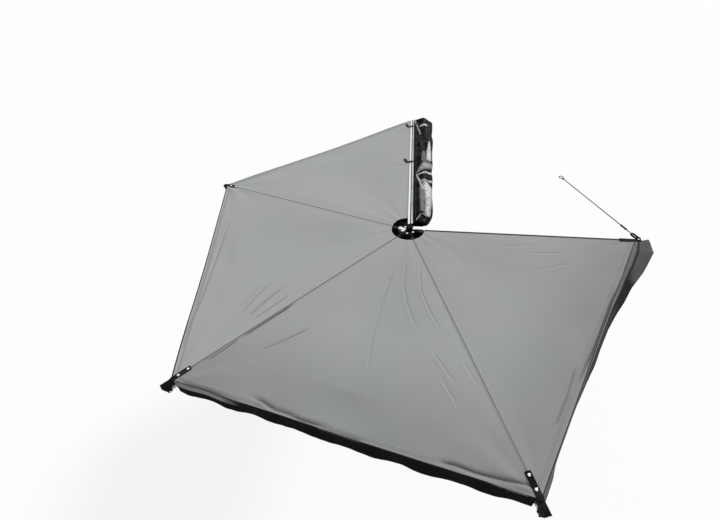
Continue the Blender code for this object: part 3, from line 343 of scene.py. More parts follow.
@dataclass(frozen=True)
class CanvasFinish(Finish):
    """Coated canvas with its weave, slubs, dust and the puckers beside its sewn lines, and painted shade in its
    creases, beside its sewn lines and toward the panels' outer edges.
    """

    thread: float = 0.0011
    weave_depth: float = 0.00010
    dust: Rgb = (0.40, 0.39, 0.36)
    dust_share: float = 0.10
    tint: Rgb = (0.40, 0.365, 0.38)
    crumple_depth: float = 0.0012
    patch: Rgb = (0.118, 0.112, 0.114)
    facing: Rgb = (0.250, 0.262, 0.255)

    def build(self) -> Material:
        """Makes the material.

        Returns:
            The material.
        """
        material, sheet, shader = self.start()
        flat, place = sheet.cloth_place(), sheet.object_place()
        weave = EFFECTS.place(sheet, "weave", flat, self.thread)
        cloud = sheet.ramp(sheet.noise(place, 1.3, 3.0, 0.5), 0.35, 0.68)
        colour = sheet.blend(sheet.times(cloud, 0.45), self.colour, self.tint)
        slub = sheet.ramp(weave["Slub"], 0.38, 0.62)
        colour = sheet.blend(sheet.times(slub, 0.35), colour, self.shade(0.90))
        soiling = EFFECTS.place(sheet, "soiling", place, 2.2)
        colour = sheet.blend(sheet.times(soiling["Mask"], self.dust_share), colour, self.dust)
        hem, seam = sheet.attribute(HEM_NAME), sheet.attribute(SEAM_NAME)
        sewn = sheet.math("MINIMUM", sheet.math("ABSOLUTE", sheet.math("SUBTRACT", hem, 0.030)), seam)
        near = sheet.ramp(sewn, 0.002, 0.016, 1.0, 0.0)
        # Darker beside the hem's stitch rows and the seams: partly dirt in the stitch channels, partly painted shade.
        colour = sheet.blend(sheet.times(near, 0.18), colour, self.shade(0.55))
        # Painted shade: darker in the creases, along the hem's inner edge and toward the rear and end panels' outer
        # edges.
        colour = sheet.blend(sheet.attribute(PAINTED_SHADE_NAME), colour, self.shade(0.10))
        bare = sheet.attribute(COATING_AND_HIGHLIGHT_NAME)
        colour = sheet.blend(sheet.ramp(bare, 0.0, 0.5), colour, self.patch)
        colour = sheet.blend(sheet.ramp(bare, 0.5, 1.0), colour, self.facing)
        pucker = sheet.times(sheet.noise(flat, 70.0, 2.0), near)
        crumple = EFFECTS.place(sheet, "crumple", place, 5.0)
        normal = sheet.bump(crumple["Height"], 0.30, self.crumple_depth)
        normal = sheet.bump(pucker, 0.6, 0.0022, normal)
        normal = sheet.bump(weave["Height"], 0.5, self.weave_depth, normal)
        rough = sheet.ramp(weave["Slub"], 0.3, 0.7, self.roughness - 0.05, self.roughness + 0.05)
        sheet.feed(shader, {"Base Color": colour, "Roughness": rough, "Normal": normal})
        return material


@dataclass(frozen=True)
class VinylFinish(Finish):
    """Glossy coated cover cloth, creased from being rolled up, with painted highlights where its ridges catch the
    light.
    """

    facet_scale: float = 16.0
    facet_depth: float = 0.010
    # The colour of the painted highlights on the cover's ridges.
    painted_highlight: Rgb = (0.74, 0.74, 0.76)

    def build(self) -> Material:
        """Makes the material.

        Returns:
            The material.
        """
        material, sheet, shader = self.start()
        flat, place = sheet.cloth_place(), sheet.object_place()
        mask = EFFECTS.place(sheet, "soiling", place, 7.0)["Mask"]
        colour = sheet.blend(sheet.times(mask, 0.025), self.colour, (0.14, 0.14, 0.15))
        # Painted highlight: a pale, mottled colour on the cover's ridges, where they would catch the light.
        bare = sheet.attribute(COATING_AND_HIGHLIGHT_NAME)
        mottle = sheet.ramp(sheet.noise(place, 42.0, 4.0, 0.6), 0.30, 0.62, 0.45, 1.0)
        colour = sheet.blend(sheet.times(bare, mottle), colour, self.painted_highlight)
        rough = sheet.ramp(mask, 0.0, 1.0, self.roughness, self.roughness + 0.22)
        crumple = EFFECTS.place(sheet, "crumple", place, self.facet_scale)
        weave = EFFECTS.place(sheet, "weave", flat, 0.0012)
        normal = sheet.bump(crumple["Height"], 0.8, self.facet_depth)
        normal = sheet.bump(weave["Height"], 0.25, 0.00006, normal)
        sheet.feed(shader, {"Base Color": colour, "Roughness": rough, "Normal": normal})
        return material


@dataclass(frozen=True)
class MetalFinish(Finish):
    """Bare or anodised metal with drawn lines, stains and scuffs."""

    along: float = 0.0
    drawn: float = 1.0
    stain: float = 0.35

    def build(self) -> Material:
        """Makes the material.

        Returns:
            The material.
        """
        material, sheet, shader = self.start()
        place = sheet.turned(sheet.object_place(), -self.along)
        lines = sheet.noise(sheet.scaled(place, (1600.0, 5.0, 1600.0)), 1.0, 3.0, 0.6)
        scuffed = EFFECTS.place(sheet, "scuffs", place, 26.0)["Mask"]
        grain = EFFECTS.place(sheet, "grain", place, 700.0)
        cloud = sheet.ramp(grain["Cloud"], 0.35, 0.7)
        colour = sheet.blend(sheet.times(cloud, self.stain), self.colour, self.shade(0.72))
        colour = sheet.blend(sheet.times(scuffed, 0.30), colour, self.shade(0.55))
        rough = sheet.ramp(lines, 0.25, 0.75, self.roughness - 0.07, self.roughness + 0.09)
        rough = sheet.math("ADD", rough, sheet.times(scuffed, 0.16))
        normal = sheet.bump(lines, 0.25 * self.drawn, 0.00010)
        normal = sheet.bump(grain["Height"], 0.12, 0.00015, normal)
        sheet.feed(shader, {"Base Color": colour, "Roughness": rough, "Normal": normal, "Metallic": 1.0})
        return material


@dataclass(frozen=True)
class CoatedFinish(Finish):
    """Powder coat, moulded plastic or rubber: fine grain, dust, and worn places that show what is under it."""

    grain_scale: float = 1100.0
    grain_depth: float = 0.00022
    bare: Rgb = (0.22, 0.22, 0.22)
    worn: float = 0.35
    dusty: float = 0.20
    dust: Rgb = (0.18, 0.17, 0.15)

    def build(self) -> Material:
        """Makes the material.

        Returns:
            The material.
        """
        material, sheet, shader = self.start()
        place = sheet.object_place()
        grain = EFFECTS.place(sheet, "grain", place, self.grain_scale)
        scuffed = EFFECTS.place(sheet, "scuffs", place, 38.0)["Mask"]
        soiled = EFFECTS.place(sheet, "soiling", place, 11.0)["Mask"]
        cloud = sheet.ramp(grain["Cloud"], 0.3, 0.7)
        colour = sheet.blend(cloud, self.shade(0.80), self.shade(1.25))
        colour = sheet.blend(sheet.times(scuffed, self.worn), colour, self.bare)
        colour = sheet.blend(sheet.times(soiled, self.dusty), colour, self.dust)
        rough = sheet.ramp(soiled, 0.0, 1.0, self.roughness, min(1.0, self.roughness + 0.18))
        normal = sheet.bump(grain["Height"], 0.45, self.grain_depth)
        normal = sheet.bump(scuffed, -0.3, 0.0002, normal)
        sheet.feed(shader, {"Base Color": colour, "Roughness": rough, "Normal": normal})
        return material


@dataclass(frozen=True)
class WebbingFinish(Finish):
    """Woven tape, with ribs across it and a raised selvedge."""

    rib: float = 0.0022

    def build(self) -> Material:
        """Makes the material.

        Returns:
            The material.
        """
        material, sheet, shader = self.start()
        weave = EFFECTS.place(sheet, "weave", sheet.cloth_place(), self.rib)
        ribs = sheet.ramp(weave["Height"], 0.0, 1.0)
        slub = sheet.ramp(weave["Slub"], 0.35, 0.65)
        colour = sheet.blend(ribs, self.shade(0.65), self.shade(1.35))
        colour = sheet.blend(sheet.times(slub, 0.4), colour, self.shade(1.9))
        normal = sheet.bump(weave["Height"], 0.7, 0.0004)
        rough = sheet.ramp(weave["Slub"], 0.3, 0.7, self.roughness - 0.08, self.roughness + 0.05)
        sheet.feed(shader, {"Base Color": colour, "Roughness": rough, "Normal": normal})
        return material


@dataclass(frozen=True)
class BraidFinish(Finish):
    """A braided cord: strands that wind both ways round it, with a pale fleck."""

    strands: float = 8.0
    lay_length: float = 0.016
    fleck: Rgb = (0.30, 0.30, 0.28)

    def build(self) -> Material:
        """Makes the material.

        Returns:
            The material.
        """
        material, sheet, shader = self.start()
        far, turn, _ = sheet.axes(sheet.cloth_place())
        along = sheet.times(far, 2.0 * math.pi / self.lay_length)
        around = sheet.times(turn, math.pi * self.strands)
        left = sheet.math("SINE", sheet.math("ADD", along, around))
        right = sheet.math("SINE", sheet.math("SUBTRACT", along, around))
        braid = sheet.math("MAXIMUM", left, right)
        fleck = sheet.ramp(left, 0.90, 0.97)
        colour = sheet.blend(sheet.ramp(braid, 0.0, 1.0), self.shade(0.5), self.shade(1.4))
        colour = sheet.blend(sheet.times(fleck, 0.25), colour, self.fleck)
        rough = sheet.ramp(braid, -1.0, 1.0, self.roughness + 0.1, self.roughness)
        sheet.feed(shader, {"Base Color": colour, "Roughness": rough, "Normal": sheet.bump(braid, 0.8, 0.0006)})
        return material


@dataclass(frozen=True)
class GroundFinish(Finish):
    """The pale floor, which looks white where nothing shades it."""

    glow: float = 0.82

    def build(self) -> Material:
        """Makes the material.

        Returns:
            The material.
        """
        material, sheet, shader = self.start()
        white = sheet.node("ShaderNodeEmission", {"Color": WHITE}).outputs[0]
        mixed = sheet.seen_as(shader.outputs[0], white, self.glow)
        sheet.feed(material.node_tree.nodes["Material Output"], {"Surface": mixed})
        return material


class Finishes:
    """Every finish of the awning, built when it is first asked for."""

    KNOWN = {
        "canopy": CanvasFinish("canopy_canvas", (0.350, 0.370, 0.360), 0.86, specular=0.25, sheen=0.08),
        "canopy_inside": CanvasFinish("canopy_lining", (0.20, 0.21, 0.205), 0.80, specular=0.2, dust_share=0.0,
                                      tint=(0.22, 0.21, 0.215)),
        "skirt": CanvasFinish("skirt_canvas", (0.0042, 0.0036, 0.0028), 0.85, specular=0.03, dust=(0.022, 0.020, 0.017),
                              dust_share=0.12, tint=(0.0055, 0.0048, 0.0038), crumple_depth=0.003),
        "skirt_inside": CanvasFinish("skirt_coating", (0.115, 0.110, 0.108), 0.70, specular=0.2, dust_share=0.05,
                                     tint=(0.10, 0.092, 0.09), crumple_depth=0.006),
        "hem_tape": WebbingFinish("hem_tape", (0.045, 0.046, 0.044), 0.85, specular=0.1),
        # Painted shade: the dark and grey seam tapes stand in for the shade in the seam grooves.
        "seam_shade_tape": WebbingFinish("painted_seam_shade", (0.105, 0.110, 0.108), 0.85, specular=0.1),
        "pale_tape": WebbingFinish("pale_seam_tape", (0.190, 0.200, 0.196), 0.85, specular=0.1),
        "faint_seam_shade_tape": WebbingFinish("painted_faint_seam_shade", (0.170, 0.180, 0.176), 0.85, specular=0.1),
        "binding": WebbingFinish("edge_binding", (0.008, 0.008, 0.007), 0.80, specular=0.1),
        "webbing": WebbingFinish("tie_webbing", (0.010, 0.010, 0.010), 0.75, specular=0.15, sheen=0.03),
        "keder": WebbingFinish("keder_tape", (0.620, 0.630, 0.650), 0.70, specular=0.2, rib=0.0012),
        "thread": WebbingFinish("sewing_thread", (0.30, 0.315, 0.31), 0.60, rib=0.0008),
        "black_thread": WebbingFinish("black_thread", (0.016, 0.016, 0.016), 0.60, specular=0.2, rib=0.0008),
        "cover": VinylFinish("cover_vinyl", (0.0025, 0.0025, 0.0035), 0.34, specular=0.02, facet_scale=9.0,
                             facet_depth=0.003),
        "piping": VinylFinish("cover_piping", (0.50, 0.50, 0.51), 0.45, facet_scale=40.0, facet_depth=0.001),
        "zip": CoatedFinish("zip_teeth", (0.03, 0.03, 0.032), 0.40, specular=0.3),
        "rail": MetalFinish("anodised_rail", (0.80, 0.81, 0.82), 0.27, stain=0.15),
        "steel": MetalFinish("plated_steel", (0.78, 0.78, 0.77), 0.20, stain=0.20),
        "leg": MetalFinish("leg_tube_metal", (0.42, 0.43, 0.44), 0.36),
        "casting": MetalFinish("cast_metal", (0.62, 0.63, 0.64), 0.38, drawn=0.2, stain=0.45),
        "black_casting": CoatedFinish("black_powder_coat", (0.006, 0.006, 0.0065), 0.60, specular=0.03, worn=0.20),
        "black_steel": CoatedFinish("black_bracket_coat", (0.009, 0.009, 0.009), 0.50, specular=0.10),
        "moulding": CoatedFinish("black_moulding", (0.012, 0.012, 0.013), 0.52, specular=0.18, worn=0.12,
                                 bare=(0.07, 0.07, 0.07)),
        "rubber": CoatedFinish("foot_rubber", (0.012, 0.012, 0.012), 0.82, specular=0.15, worn=0.10,
                               bare=(0.06, 0.06, 0.06), dusty=0.4),
        "cord": BraidFinish("guy_braid", (0.006, 0.006, 0.006), 0.70, specular=0.12, fleck=(0.10, 0.10, 0.095)),
        "ground": GroundFinish("pale_ground", (0.90, 0.90, 0.90), 0.9),
    }

    def __init__(self) -> None:
        """Starts with none of them built."""
        self.made: dict[str, Material] = {}

    def get(self, name: str) -> Material:
        """The material of a finish.

        Args:
            name: The finish's short name.

        Returns:
            The material.
        """
        if name not in self.made:
            self.made[name] = self.KNOWN[name].build()
        return self.made[name]

    def tube(self, arm: Arm, azimuth: float) -> Material:
        """Anodised tube for one boom, with drawn lines along it; azimuth is its turn from +Y, in radians."""
        return MetalFinish("boom_tube_" + arm.value, (0.020, 0.020, 0.021), 0.45, along=azimuth).build()


FINISHES = Finishes()


@dataclass(frozen=True)
class Crease:
    """A soft valley in a panel along a few places, with a low ridge beside it and painted shade along the valley."""

    places: tuple[Pair, ...]
    depth: float = 0.004
    width: float = 0.007
    # How strong the painted shade along the valley is; 0 takes it from the depth.
    dark: float = 0.0

    def heights(self, place: Array) -> Array:
        """How far the crease moves the cloth up or down.

        Args:
            place: Places in the row frame, x and y in the last axis.

        Returns:
            The heights, in metres, and the share of painted shade along the crease, from 0 to 1.
        """
        nearest = np.full(place.shape[:-1], np.inf)
        across, reached, total = np.zeros_like(nearest), np.zeros_like(nearest), 0.0
        for start, end in zip(np.array(self.places[:-1]), np.array(self.places[1:])):
            length = float(np.linalg.norm(end - start))
            line = (end - start) / length
            offset = place - start
            along = np.clip(offset @ line, 0.0, length)
            side = offset[..., 0] * line[1] - offset[..., 1] * line[0]
            gap = np.linalg.norm(offset - along[..., None] * line, axis=-1)
            closer = gap < nearest
            nearest = np.where(closer, gap, nearest)
            across = np.where(closer, np.copysign(gap, side), across)
            reached = np.where(closer, total + along, reached)
            total += length
        reach = np.clip(np.minimum(reached, total - reached) / (0.25 * total) + 0.25, 0.0, 1.0)
        taper = reach * reach * (3.0 - 2.0 * reach)
        valley = np.exp(-((across / self.width) ** 2))
        ridge = np.exp(-(((across - 1.9 * self.width) / (1.3 * self.width)) ** 2))
        # Painted shade along the valley, where the fold's shadow falls.
        dark = np.exp(-((across / (0.9 * self.width)) ** 2)) * (self.dark or min(1.0, 45.0 * self.depth))
        return np.stack([self.depth * taper * (0.55 * ridge - valley), taper * dark])


@dataclass(frozen=True)
class RadialLine:
    """One of the fan's five radial lines, from the hub's hole to the outer edge, about the hub."""

    root: Array
    tip: Array


def smooth(value: Array, low: float, high: float) -> Array:
    """A smooth step from 0 at low to 1 at high."""
    t = np.clip((value - low) / (high - low), 0.0, 1.0)
    return t * t * (3.0 - 2.0 * t)


def noise_field(place: Array, scale: Point, seed: float) -> Array:
    """Smooth noise from -1 to 1 at many places.

    Args:
        place: The places, in the last axis.
        scale: How many bumps there are in a metre along each axis.
        seed: Which part of the noise is read.

    Returns:
        One value for each place.
    """
    flat = place.reshape(-1, place.shape[-1])
    found = [noise.noise(Vector((p[0] * scale[0], p[1] * scale[1], p[-1] * scale[2] + seed))) for p in flat]
    return np.array(found).reshape(place.shape[:-1])


@dataclass
class FanLayout:
    """Where the fan's hinges, booms and radial lines are, about the hub."""

    hub: Point = (-0.083, -0.075, 0.030)
    swing_deg: dict[str, float] = field(default_factory=lambda: dict(front=66.7, side=68.2, rear=64.1, end=72.6))
    boom_reach: dict[str, float] = field(default_factory=lambda: dict(front=1.981, side=1.939, rear=1.925, end=1.730))
    droop_deg: float = 2.87
    hinge_x: float = -0.020
    pitch: float = 0.050
    link_mid_z: float = -0.026
    rail_start: float = 0.036
    rail_length: float = 2.040
    clear: float = 0.0003
    hole_radius: float = 0.122
    boom_height: float = 0.032
    cloth: float = 0.0024
    lift: float = 0.0008
    slot_z: float = -0.0080

    def __post_init__(self) -> None:
        """Follows the chain of hinges and finds each boom's frame and each radial line."""
        self.pivots: dict[str, Array] = {}
        self.frames: dict[str, Matrix] = {}
        rail_end = self.rail_start + self.rail_length
        self.lines = {"rail": RadialLine(np.array((-self.clear, self.hole_radius, self.slot_z)),
                                         np.array((-self.clear, rail_end, self.slot_z)))}
        turn = Matrix.Identity(4)
        place = Vector((self.hinge_x, 0.0, 0.0))
        height = self.boom_height / 2 + self.lift + self.cloth / 2
        for arm in Arm:
            swing = math.radians(self.swing_deg[arm.value])
            turn = turn @ Matrix.Translation(place) @ Matrix.Rotation(swing, 4, "Z")
            droop = Matrix.Rotation(-math.radians(self.droop_deg), 4, "X")
            axis = turn @ Matrix.Translation((-self.pitch / 2, 0.0, self.link_mid_z)) @ droop
            direction = axis.to_3x3() @ Vector((0.0, 1.0, 0.0))
            start = axis @ Vector((0.0, 0.0, height))
            root = start + direction * (self.hole_radius - start.xy.length * 0.5)
            tip = start + direction * self.boom_reach[arm.value]
            self.pivots[arm.value] = np.array(turn.translation)
            self.frames[arm.value] = axis
            self.lines[arm.value] = RadialLine(np.array(root), np.array(tip))
            place = Vector((-self.pitch, 0.0, 0.0))

    def before(self, arm: Arm) -> str:
        """The name of the line that an arm's panel starts from."""
        order = ["rail"] + [a.value for a in Arm]
        return order[order.index(arm.value) - 1]

    def world(self, place: Array) -> Array:
        """A place about the hub, in the row frame."""
        return np.asarray(place) + np.array(self.hub)

    def azimuth(self, arm: Arm) -> float:
        """How far a boom is turned from +Y, in radians."""
        run = self.lines[arm.value].tip - self.lines[arm.value].root
        return math.atan2(run[1], run[0]) - math.pi / 2


@dataclass
class PanelSurface:
    """The shape of one canopy panel, as a function of two shares."""

    layout: FanLayout
    arm: Arm
    creases: tuple[Crease, ...] = ()
    seam_half: float = 0.0004
    end_overhang: float = 0.010
    sag: float = 0.022
    edge_sag: float = 0.012
    fold_depth: float = 0.010
    fold_start: float = 0.84
    fold_end: float = 0.97
    fold_count: int = 3
    hem_width: float = 0.035
    hem_rise: float = 0.0009
    drape: float = 0.0040
    ripple: float = 0.0030
    corner_reach: float = 0.14
    hole_ripple: float = 0.0022
    # Painted shade: a darkening over the whole panel, and an extra share toward its outer edge.
    panel_shade: Pair = (0.0, 0.0)

    def __post_init__(self) -> None:
        """Finds the panel's two lines with their sideways shifts."""
        lay, name, first = self.layout, self.arm.value, self.layout.before(self.arm)
        shift_a = Vector((0.0, 0.0, 0.0))
        if first != "rail":
            shift_a = lay.frames[first].to_3x3() @ Vector((-self.seam_half, 0.0, 0.0))
        reach = self.end_overhang if self.arm is Arm.END else -self.seam_half
        tilt = math.tan(math.radians(lay.droop_deg)) * math.tan(math.radians(lay.swing_deg[name]) / 2)
        shift_b = lay.frames[name].to_3x3() @ Vector((-reach, 0.0, reach * tilt))
        self.inner_a = lay.lines[first].root + np.array(shift_a)
        self.outer_a = lay.lines[first].tip + np.array(shift_a)
        self.inner_b = lay.lines[name].root + np.array(shift_b)
        self.outer_b = lay.lines[name].tip + np.array(shift_b)
        edge = self.outer_b - self.outer_a
        self.span = float(np.linalg.norm(edge))
        self.edge = edge / self.span
        out = np.cross(self.edge, (0.0, 0.0, 1.0))
        self.outward = out / np.linalg.norm(out)
        middle = (self.inner_a + self.inner_b) / 2
        self.depth = float((self.outer_a - middle)[:2] @ self.outward[:2] / np.linalg.norm(self.outward[:2]))
        self.rims = [(root[:2], (tip - root)[:2] / np.linalg.norm((tip - root)[:2]))
                     for root, tip in ((self.inner_a, self.outer_a), (self.inner_b, self.outer_b))]

    @property
    def bodies(self) -> tuple[str, str]:
        """The two bodies that the panel spans."""
        first = self.layout.before(self.arm)
        return ("rail_body" if first == "rail" else "arm_" + first), self.arm.body

    def plain(self, u: Array, v: Array) -> Array:
        """Places on the panel without its small folds, about the hub.

        Args:
            u: Shares from the hub's hole to the outer edge.
            v: Shares from the first line to the second.

        Returns:
            The places.
        """
        u, v = np.asarray(u)[..., None], np.asarray(v)[..., None]
        inner = self.inner_a + (self.inner_b - self.inner_a) * v
        middle = (self.inner_a[:2] + self.inner_b[:2]) / 2
        bulge = 0.5 * (np.linalg.norm(self.inner_a[:2]) + np.linalg.norm(self.inner_b[:2])) - np.linalg.norm(middle)
        out = inner[..., :2] / np.linalg.norm(inner[..., :2], axis=-1, keepdims=True)
        inner = inner + np.concatenate([out * bulge * np.sin(np.pi * v), np.zeros_like(v)], axis=-1)
        point = inner + (self.outer_a + (self.outer_b - self.outer_a) * v - inner) * u
        across = np.sin(np.pi * v) ** 3
        drop = self.sag * across * np.sin(np.pi * u) ** 2 + self.edge_sag * across * u ** 3
        point[..., 2:] -= drop
        return point

    def from_lines(self, point: Array) -> tuple[Array, Array]:
        """How far places are from the panel's two lines, seen from above.

        Args:
            point: The places, about the hub.

        Returns:
            The distances from the first and from the second line.
        """
        offs = [(point[..., :2] - root, run) for root, run in self.rims]
        return tuple(np.abs(off[..., 0] * run[1] - off[..., 1] * run[0]) for off, run in offs)

    def relief(self, point: Array, u: Array, v: Array) -> Array:
        """The folds, hems and ripples of the panel.

        Args:
            point: The plain places, about the hub.
            u: Their shares outward.
            v: Their shares across.

        Returns:
            How far each place moves up.
        """
        near_a, near_b = self.from_lines(point)
        near = np.minimum(near_a, near_b)
        free = smooth(near, 0.012, 0.085)
        hem = (1.0 - u) * self.depth
        seed = 7.0 * (1 + list(Arm).index(self.arm))
        row = self.layout.world(point)
        rise = self.drape * noise_field(row, (1.2, 1.2, 0.0), seed)
        rise += 0.40 * self.drape * noise_field(row, (3.6, 3.6, 0.0), seed + 3.0)
        place = (u - self.fold_start) / (self.fold_end - self.fold_start)
        ridge = np.where((place > 0.0) & (place < 1.0), np.sin(np.pi * place), 0.0)
        fold = self.fold_depth * np.sin(np.pi * v) ** 3 * ridge * np.sin(self.fold_count * np.pi * v) ** 2
        for corner, facing in ((self.outer_a, 1.0), (self.outer_b, -1.0)):
            off = point[..., :2] - corner[:2]
            radius = np.linalg.norm(off, axis=-1)
            along = off @ (self.edge[:2] * facing)
            angle = np.arctan2(-(off @ self.outward[:2]), along)
            far = (radius / self.corner_reach) ** 1.2
            bell = far * np.exp(1.0 - far * 0.62) * 0.55
            rise += self.ripple * bell * np.sin(11.0 * angle + 4.0 * radius + seed)
        around = np.arctan2(point[..., 1], point[..., 0])
        from_hole = np.linalg.norm(point[..., :2], axis=-1) - self.layout.hole_radius
        fading = self.hole_ripple * np.exp(-from_hole / 0.30)
        rise += fading * np.sin(17.0 * around + seed) * smooth(from_hole, -0.02, 0.10)
        rise = (rise - fold) * free
        held = smooth(near, 0.003, 0.022)
        for crease in self.creases:
            rise += crease.heights(row[..., :2])[0] * held
        rise += self.hem_rise * (1.0 - smooth(hem, self.hem_width - 0.002, self.hem_width + 0.002))
        rise += self.hem_rise * (1.0 - smooth(near, 0.013, 0.016)) * smooth(hem, 0.02, 0.05)
        return rise

    def painted_shade(self, point: Array, u: Array) -> Array:
        """How much painted shade lies in the creases, along the hem's inner edge and over the panel toward its outer
        edge.

        Args:
            point: The plain places, about the hub.
            u: Their shares outward.

        Returns:
            Shares from 0 to 1.
        """
        row = self.layout.world(point)
        hem = (1.0 - u) * self.depth
        whole, edge = self.panel_shade
        # Painted shadow line along the hem's inner edge.
        dark = 0.32 * np.exp(-(((hem - self.hem_width) / 0.004) ** 2))
        # Painted shade over the whole panel, stronger toward its outer edge.
        dark = np.maximum(dark, whole + edge * smooth(u, 0.55, 1.0))
        for crease in self.creases:
            dark = np.maximum(dark, crease.heights(row[..., :2])[1])
        return dark

    def surface(self, u: Array, v: Array) -> Array:
        """Places on the panel with all its folds, about the hub.

        Args:
            u: Shares from the hub's hole to the outer edge.
            v: Shares from the first line to the second.

        Returns:
            The places.
        """
        u, v = np.broadcast_arrays(np.asarray(u, float), np.asarray(v, float))
        point = self.plain(u, v)
        point[..., 2] += self.relief(point, u, v)
        return point


def new_object(name: str, mesh: Mesh, *finishes: str) -> Piece:
    """Adds a piece to the scene.

    Args:
        name: Its name, and its mesh's.
        mesh: Its mesh, in the row frame.
        *finishes: The short names of its finishes.

    Returns:
        The piece.
    """
    mesh.name = name
    piece = bpy.data.objects.new(name, mesh)
    bpy.context.scene.collection.objects.link(piece)
    for finish in finishes:
        mesh.materials.append(FINISHES.get(finish))
    return piece


def fasten(piece: Piece, body: str, node: str = "") -> None:
    """Fixes a piece to one body.

    Args:
        piece: The piece.
        body: The body that it rides on.
        node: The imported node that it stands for, if there is one.
    """
    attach(piece, body)
    if node:
        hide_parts(node)


def grid_mesh(points: Array, plan: Array, closed: bool = False) -> Mesh:
    """A smooth grid of faces with its own map in metres.

    Args:
        points: Rows and columns of places, in the row frame.
        plan: Where each of them lies on the flat cloth.
        closed: Whether the last column joins the first.

    Returns:
        The mesh.
    """
    rows, columns = points.shape[:2]
    index = np.arange(rows * columns).reshape(rows, columns)
    after = np.roll(index, -1, axis=1) if closed else index[:, 1:]
    before = index if closed else index[:, :-1]
    faces = np.stack([before[:-1], before[1:], after[1:], after[:-1]], axis=-1).reshape(-1, 4)
    mesh = bpy.data.meshes.new("grid")
    mesh.from_pydata(points.reshape(-1, 3).tolist(), [], faces.tolist())
    layer = mesh.uv_layers.new(name=UV_NAME)
    layer.data.foreach_set("uv", plan.reshape(-1, 2)[faces.ravel()].astype(np.float32).ravel())
    mesh.shade_smooth()
    return mesh


def close_skin(mesh: Mesh, ring: int = 0) -> None:
    """Closes a mesh that is made of rings: fills its two ends, or joins its last ring to the first one.

    Args:
        mesh: The mesh.
        ring: How many points a ring has, or 0 where the last ring lies on the first.
    """
    bm = bmesh.new()
    bm.from_mesh(mesh)
    bm.verts.ensure_lookup_table()
    if ring:
        bm.faces.new([bm.verts[i] for i in range(ring)])
        bm.faces.new([bm.verts[i] for i in range(len(bm.verts) - ring, len(bm.verts))][::-1])
    else:
        bmesh.ops.remove_doubles(bm, verts=bm.verts, dist=WELD)
    bmesh.ops.recalc_face_normals(bm, faces=bm.faces)
    bm.to_mesh(mesh)
    bm.free()
    mesh.shade_smooth()


def mark_points(mesh: Mesh, values: dict[str, Array]) -> None:
    """Gives a mesh's points the values that its finish reads."""
    for name, found in values.items():
        mesh.attributes.new(name, "FLOAT", "POINT").data.foreach_set("value", found.astype(np.float32).ravel())


def plain_mesh(piece: Piece) -> None:
    """Puts a piece's live modifiers into its mesh and removes them.

    Args:
        piece: The piece.
    """
    bpy.context.view_layer.update()
    graph = bpy.context.evaluated_depsgraph_get()
    mesh = bpy.data.meshes.new_from_object(piece.evaluated_get(graph), preserve_all_data_layers=True, depsgraph=graph)
    mesh.name = piece.name
    old = piece.data
    piece.modifiers.clear()
    piece.data = mesh
    bpy.data.meshes.remove(old)


def thicken(piece: Piece, thickness: float) -> None:
    """Gives a surface an even thickness, half of it on each side, with its second finish on the inside.

    Args:
        piece: The piece.
        thickness: The thickness.
    """
    solid = piece.modifiers.new("thickness", "SOLIDIFY")
    solid.thickness, solid.offset, solid.material_offset = thickness, 0.0, 1
    plain_mesh(piece)


def sweep(name: str, finish: str, path: Array, section: Array, sides: Array, closed: bool = False) -> Piece:
    """Carries a closed section along a path, with filled ends.

    Args:
        name: The piece's name.
        finish: Its finish's short name.
        path: The places along it, in the row frame.
        section: The section's points, as offsets sideways and upward.
        sides: The sideways direction, one for all or one for each place.
        closed: Whether the path is a loop.

    Returns:
        The piece.
    """
    path = np.asarray(path, float)
    ahead = np.roll(path, -1, axis=0) - np.roll(path, 1, axis=0)
    if not closed:
        ahead[0], ahead[-1] = path[1] - path[0], path[-1] - path[-2]
    ahead /= np.linalg.norm(ahead, axis=1, keepdims=True)
    side = np.broadcast_to(np.asarray(sides, float), path.shape).copy()
    side -= ahead * np.sum(side * ahead, axis=1, keepdims=True)
    side /= np.linalg.norm(side, axis=1, keepdims=True)
    up = np.cross(side, ahead)
    points = path[:, None] + side[:, None] * section[None, :, :1] + up[:, None] * section[None, :, 1:]
    steps = np.concatenate([[0.0], np.cumsum(np.linalg.norm(np.diff(path, axis=0), axis=1))])
    around = np.linalg.norm(section - np.roll(section, 1, axis=0), axis=1).cumsum()
    plan = np.stack(np.broadcast_arrays(steps[:, None], around[None]), axis=-1)
    if closed:
        points = np.concatenate([points, points[:1]])
        plan = np.concatenate([plan, plan[-1:] + (plan[1] - plan[0])])
    mesh = grid_mesh(points, plan, closed=True)
    close_skin(mesh, 0 if closed else len(section))
    mesh.set_sharp_from_angle(angle=math.radians(50))
    return new_object(name, mesh, finish)


def round_section(radius: float, sides: int = 12) -> Array:
    """Points round a circle, as a section for a sweep."""
    turn = np.arange(sides) * 2.0 * np.pi / sides
    return np.stack([np.cos(turn), np.sin(turn)], axis=1) * radius


def flat_section(width: float, thickness: float) -> Array:
    """Points round a flat tape with soft edges, as a section for a sweep.

    Args:
        width: The tape's width.
        thickness: Its thickness.

    Returns:
        The points.
    """
    w, t = width / 2, thickness / 2
    half = [(-w, 0.0), (-w + t * 0.6, t), (-w * 0.33, t), (w * 0.33, t), (w - t * 0.6, t), (w, 0.0)]
    return np.array(half + [(x, -t) for x, _ in half[-2:0:-1]])


def spline_through(points: list[Point] | Array, steps: int = 8) -> Array:
    """A smooth line through a few points.

    Args:
        points: The points.
        steps: How many pieces each stretch is cut into.

    Returns:
        The places along it.
    """
    given = np.asarray(points, float)
    padded = np.concatenate([[2 * given[0] - given[1]], given, [2 * given[-1] - given[-2]]])
    line = []
    for i in range(len(given) - 1):
        a, b, c, d = padded[i:i + 4]
        for t in np.arange(steps) / steps:
            line.append(0.5 * (2 * b + (c - a) * t + (2 * a - 5 * b + 4 * c - d) * t ** 2
                               + (3 * b - a - 3 * c + d) * t ** 3))
    return np.array(line + [given[-1]])


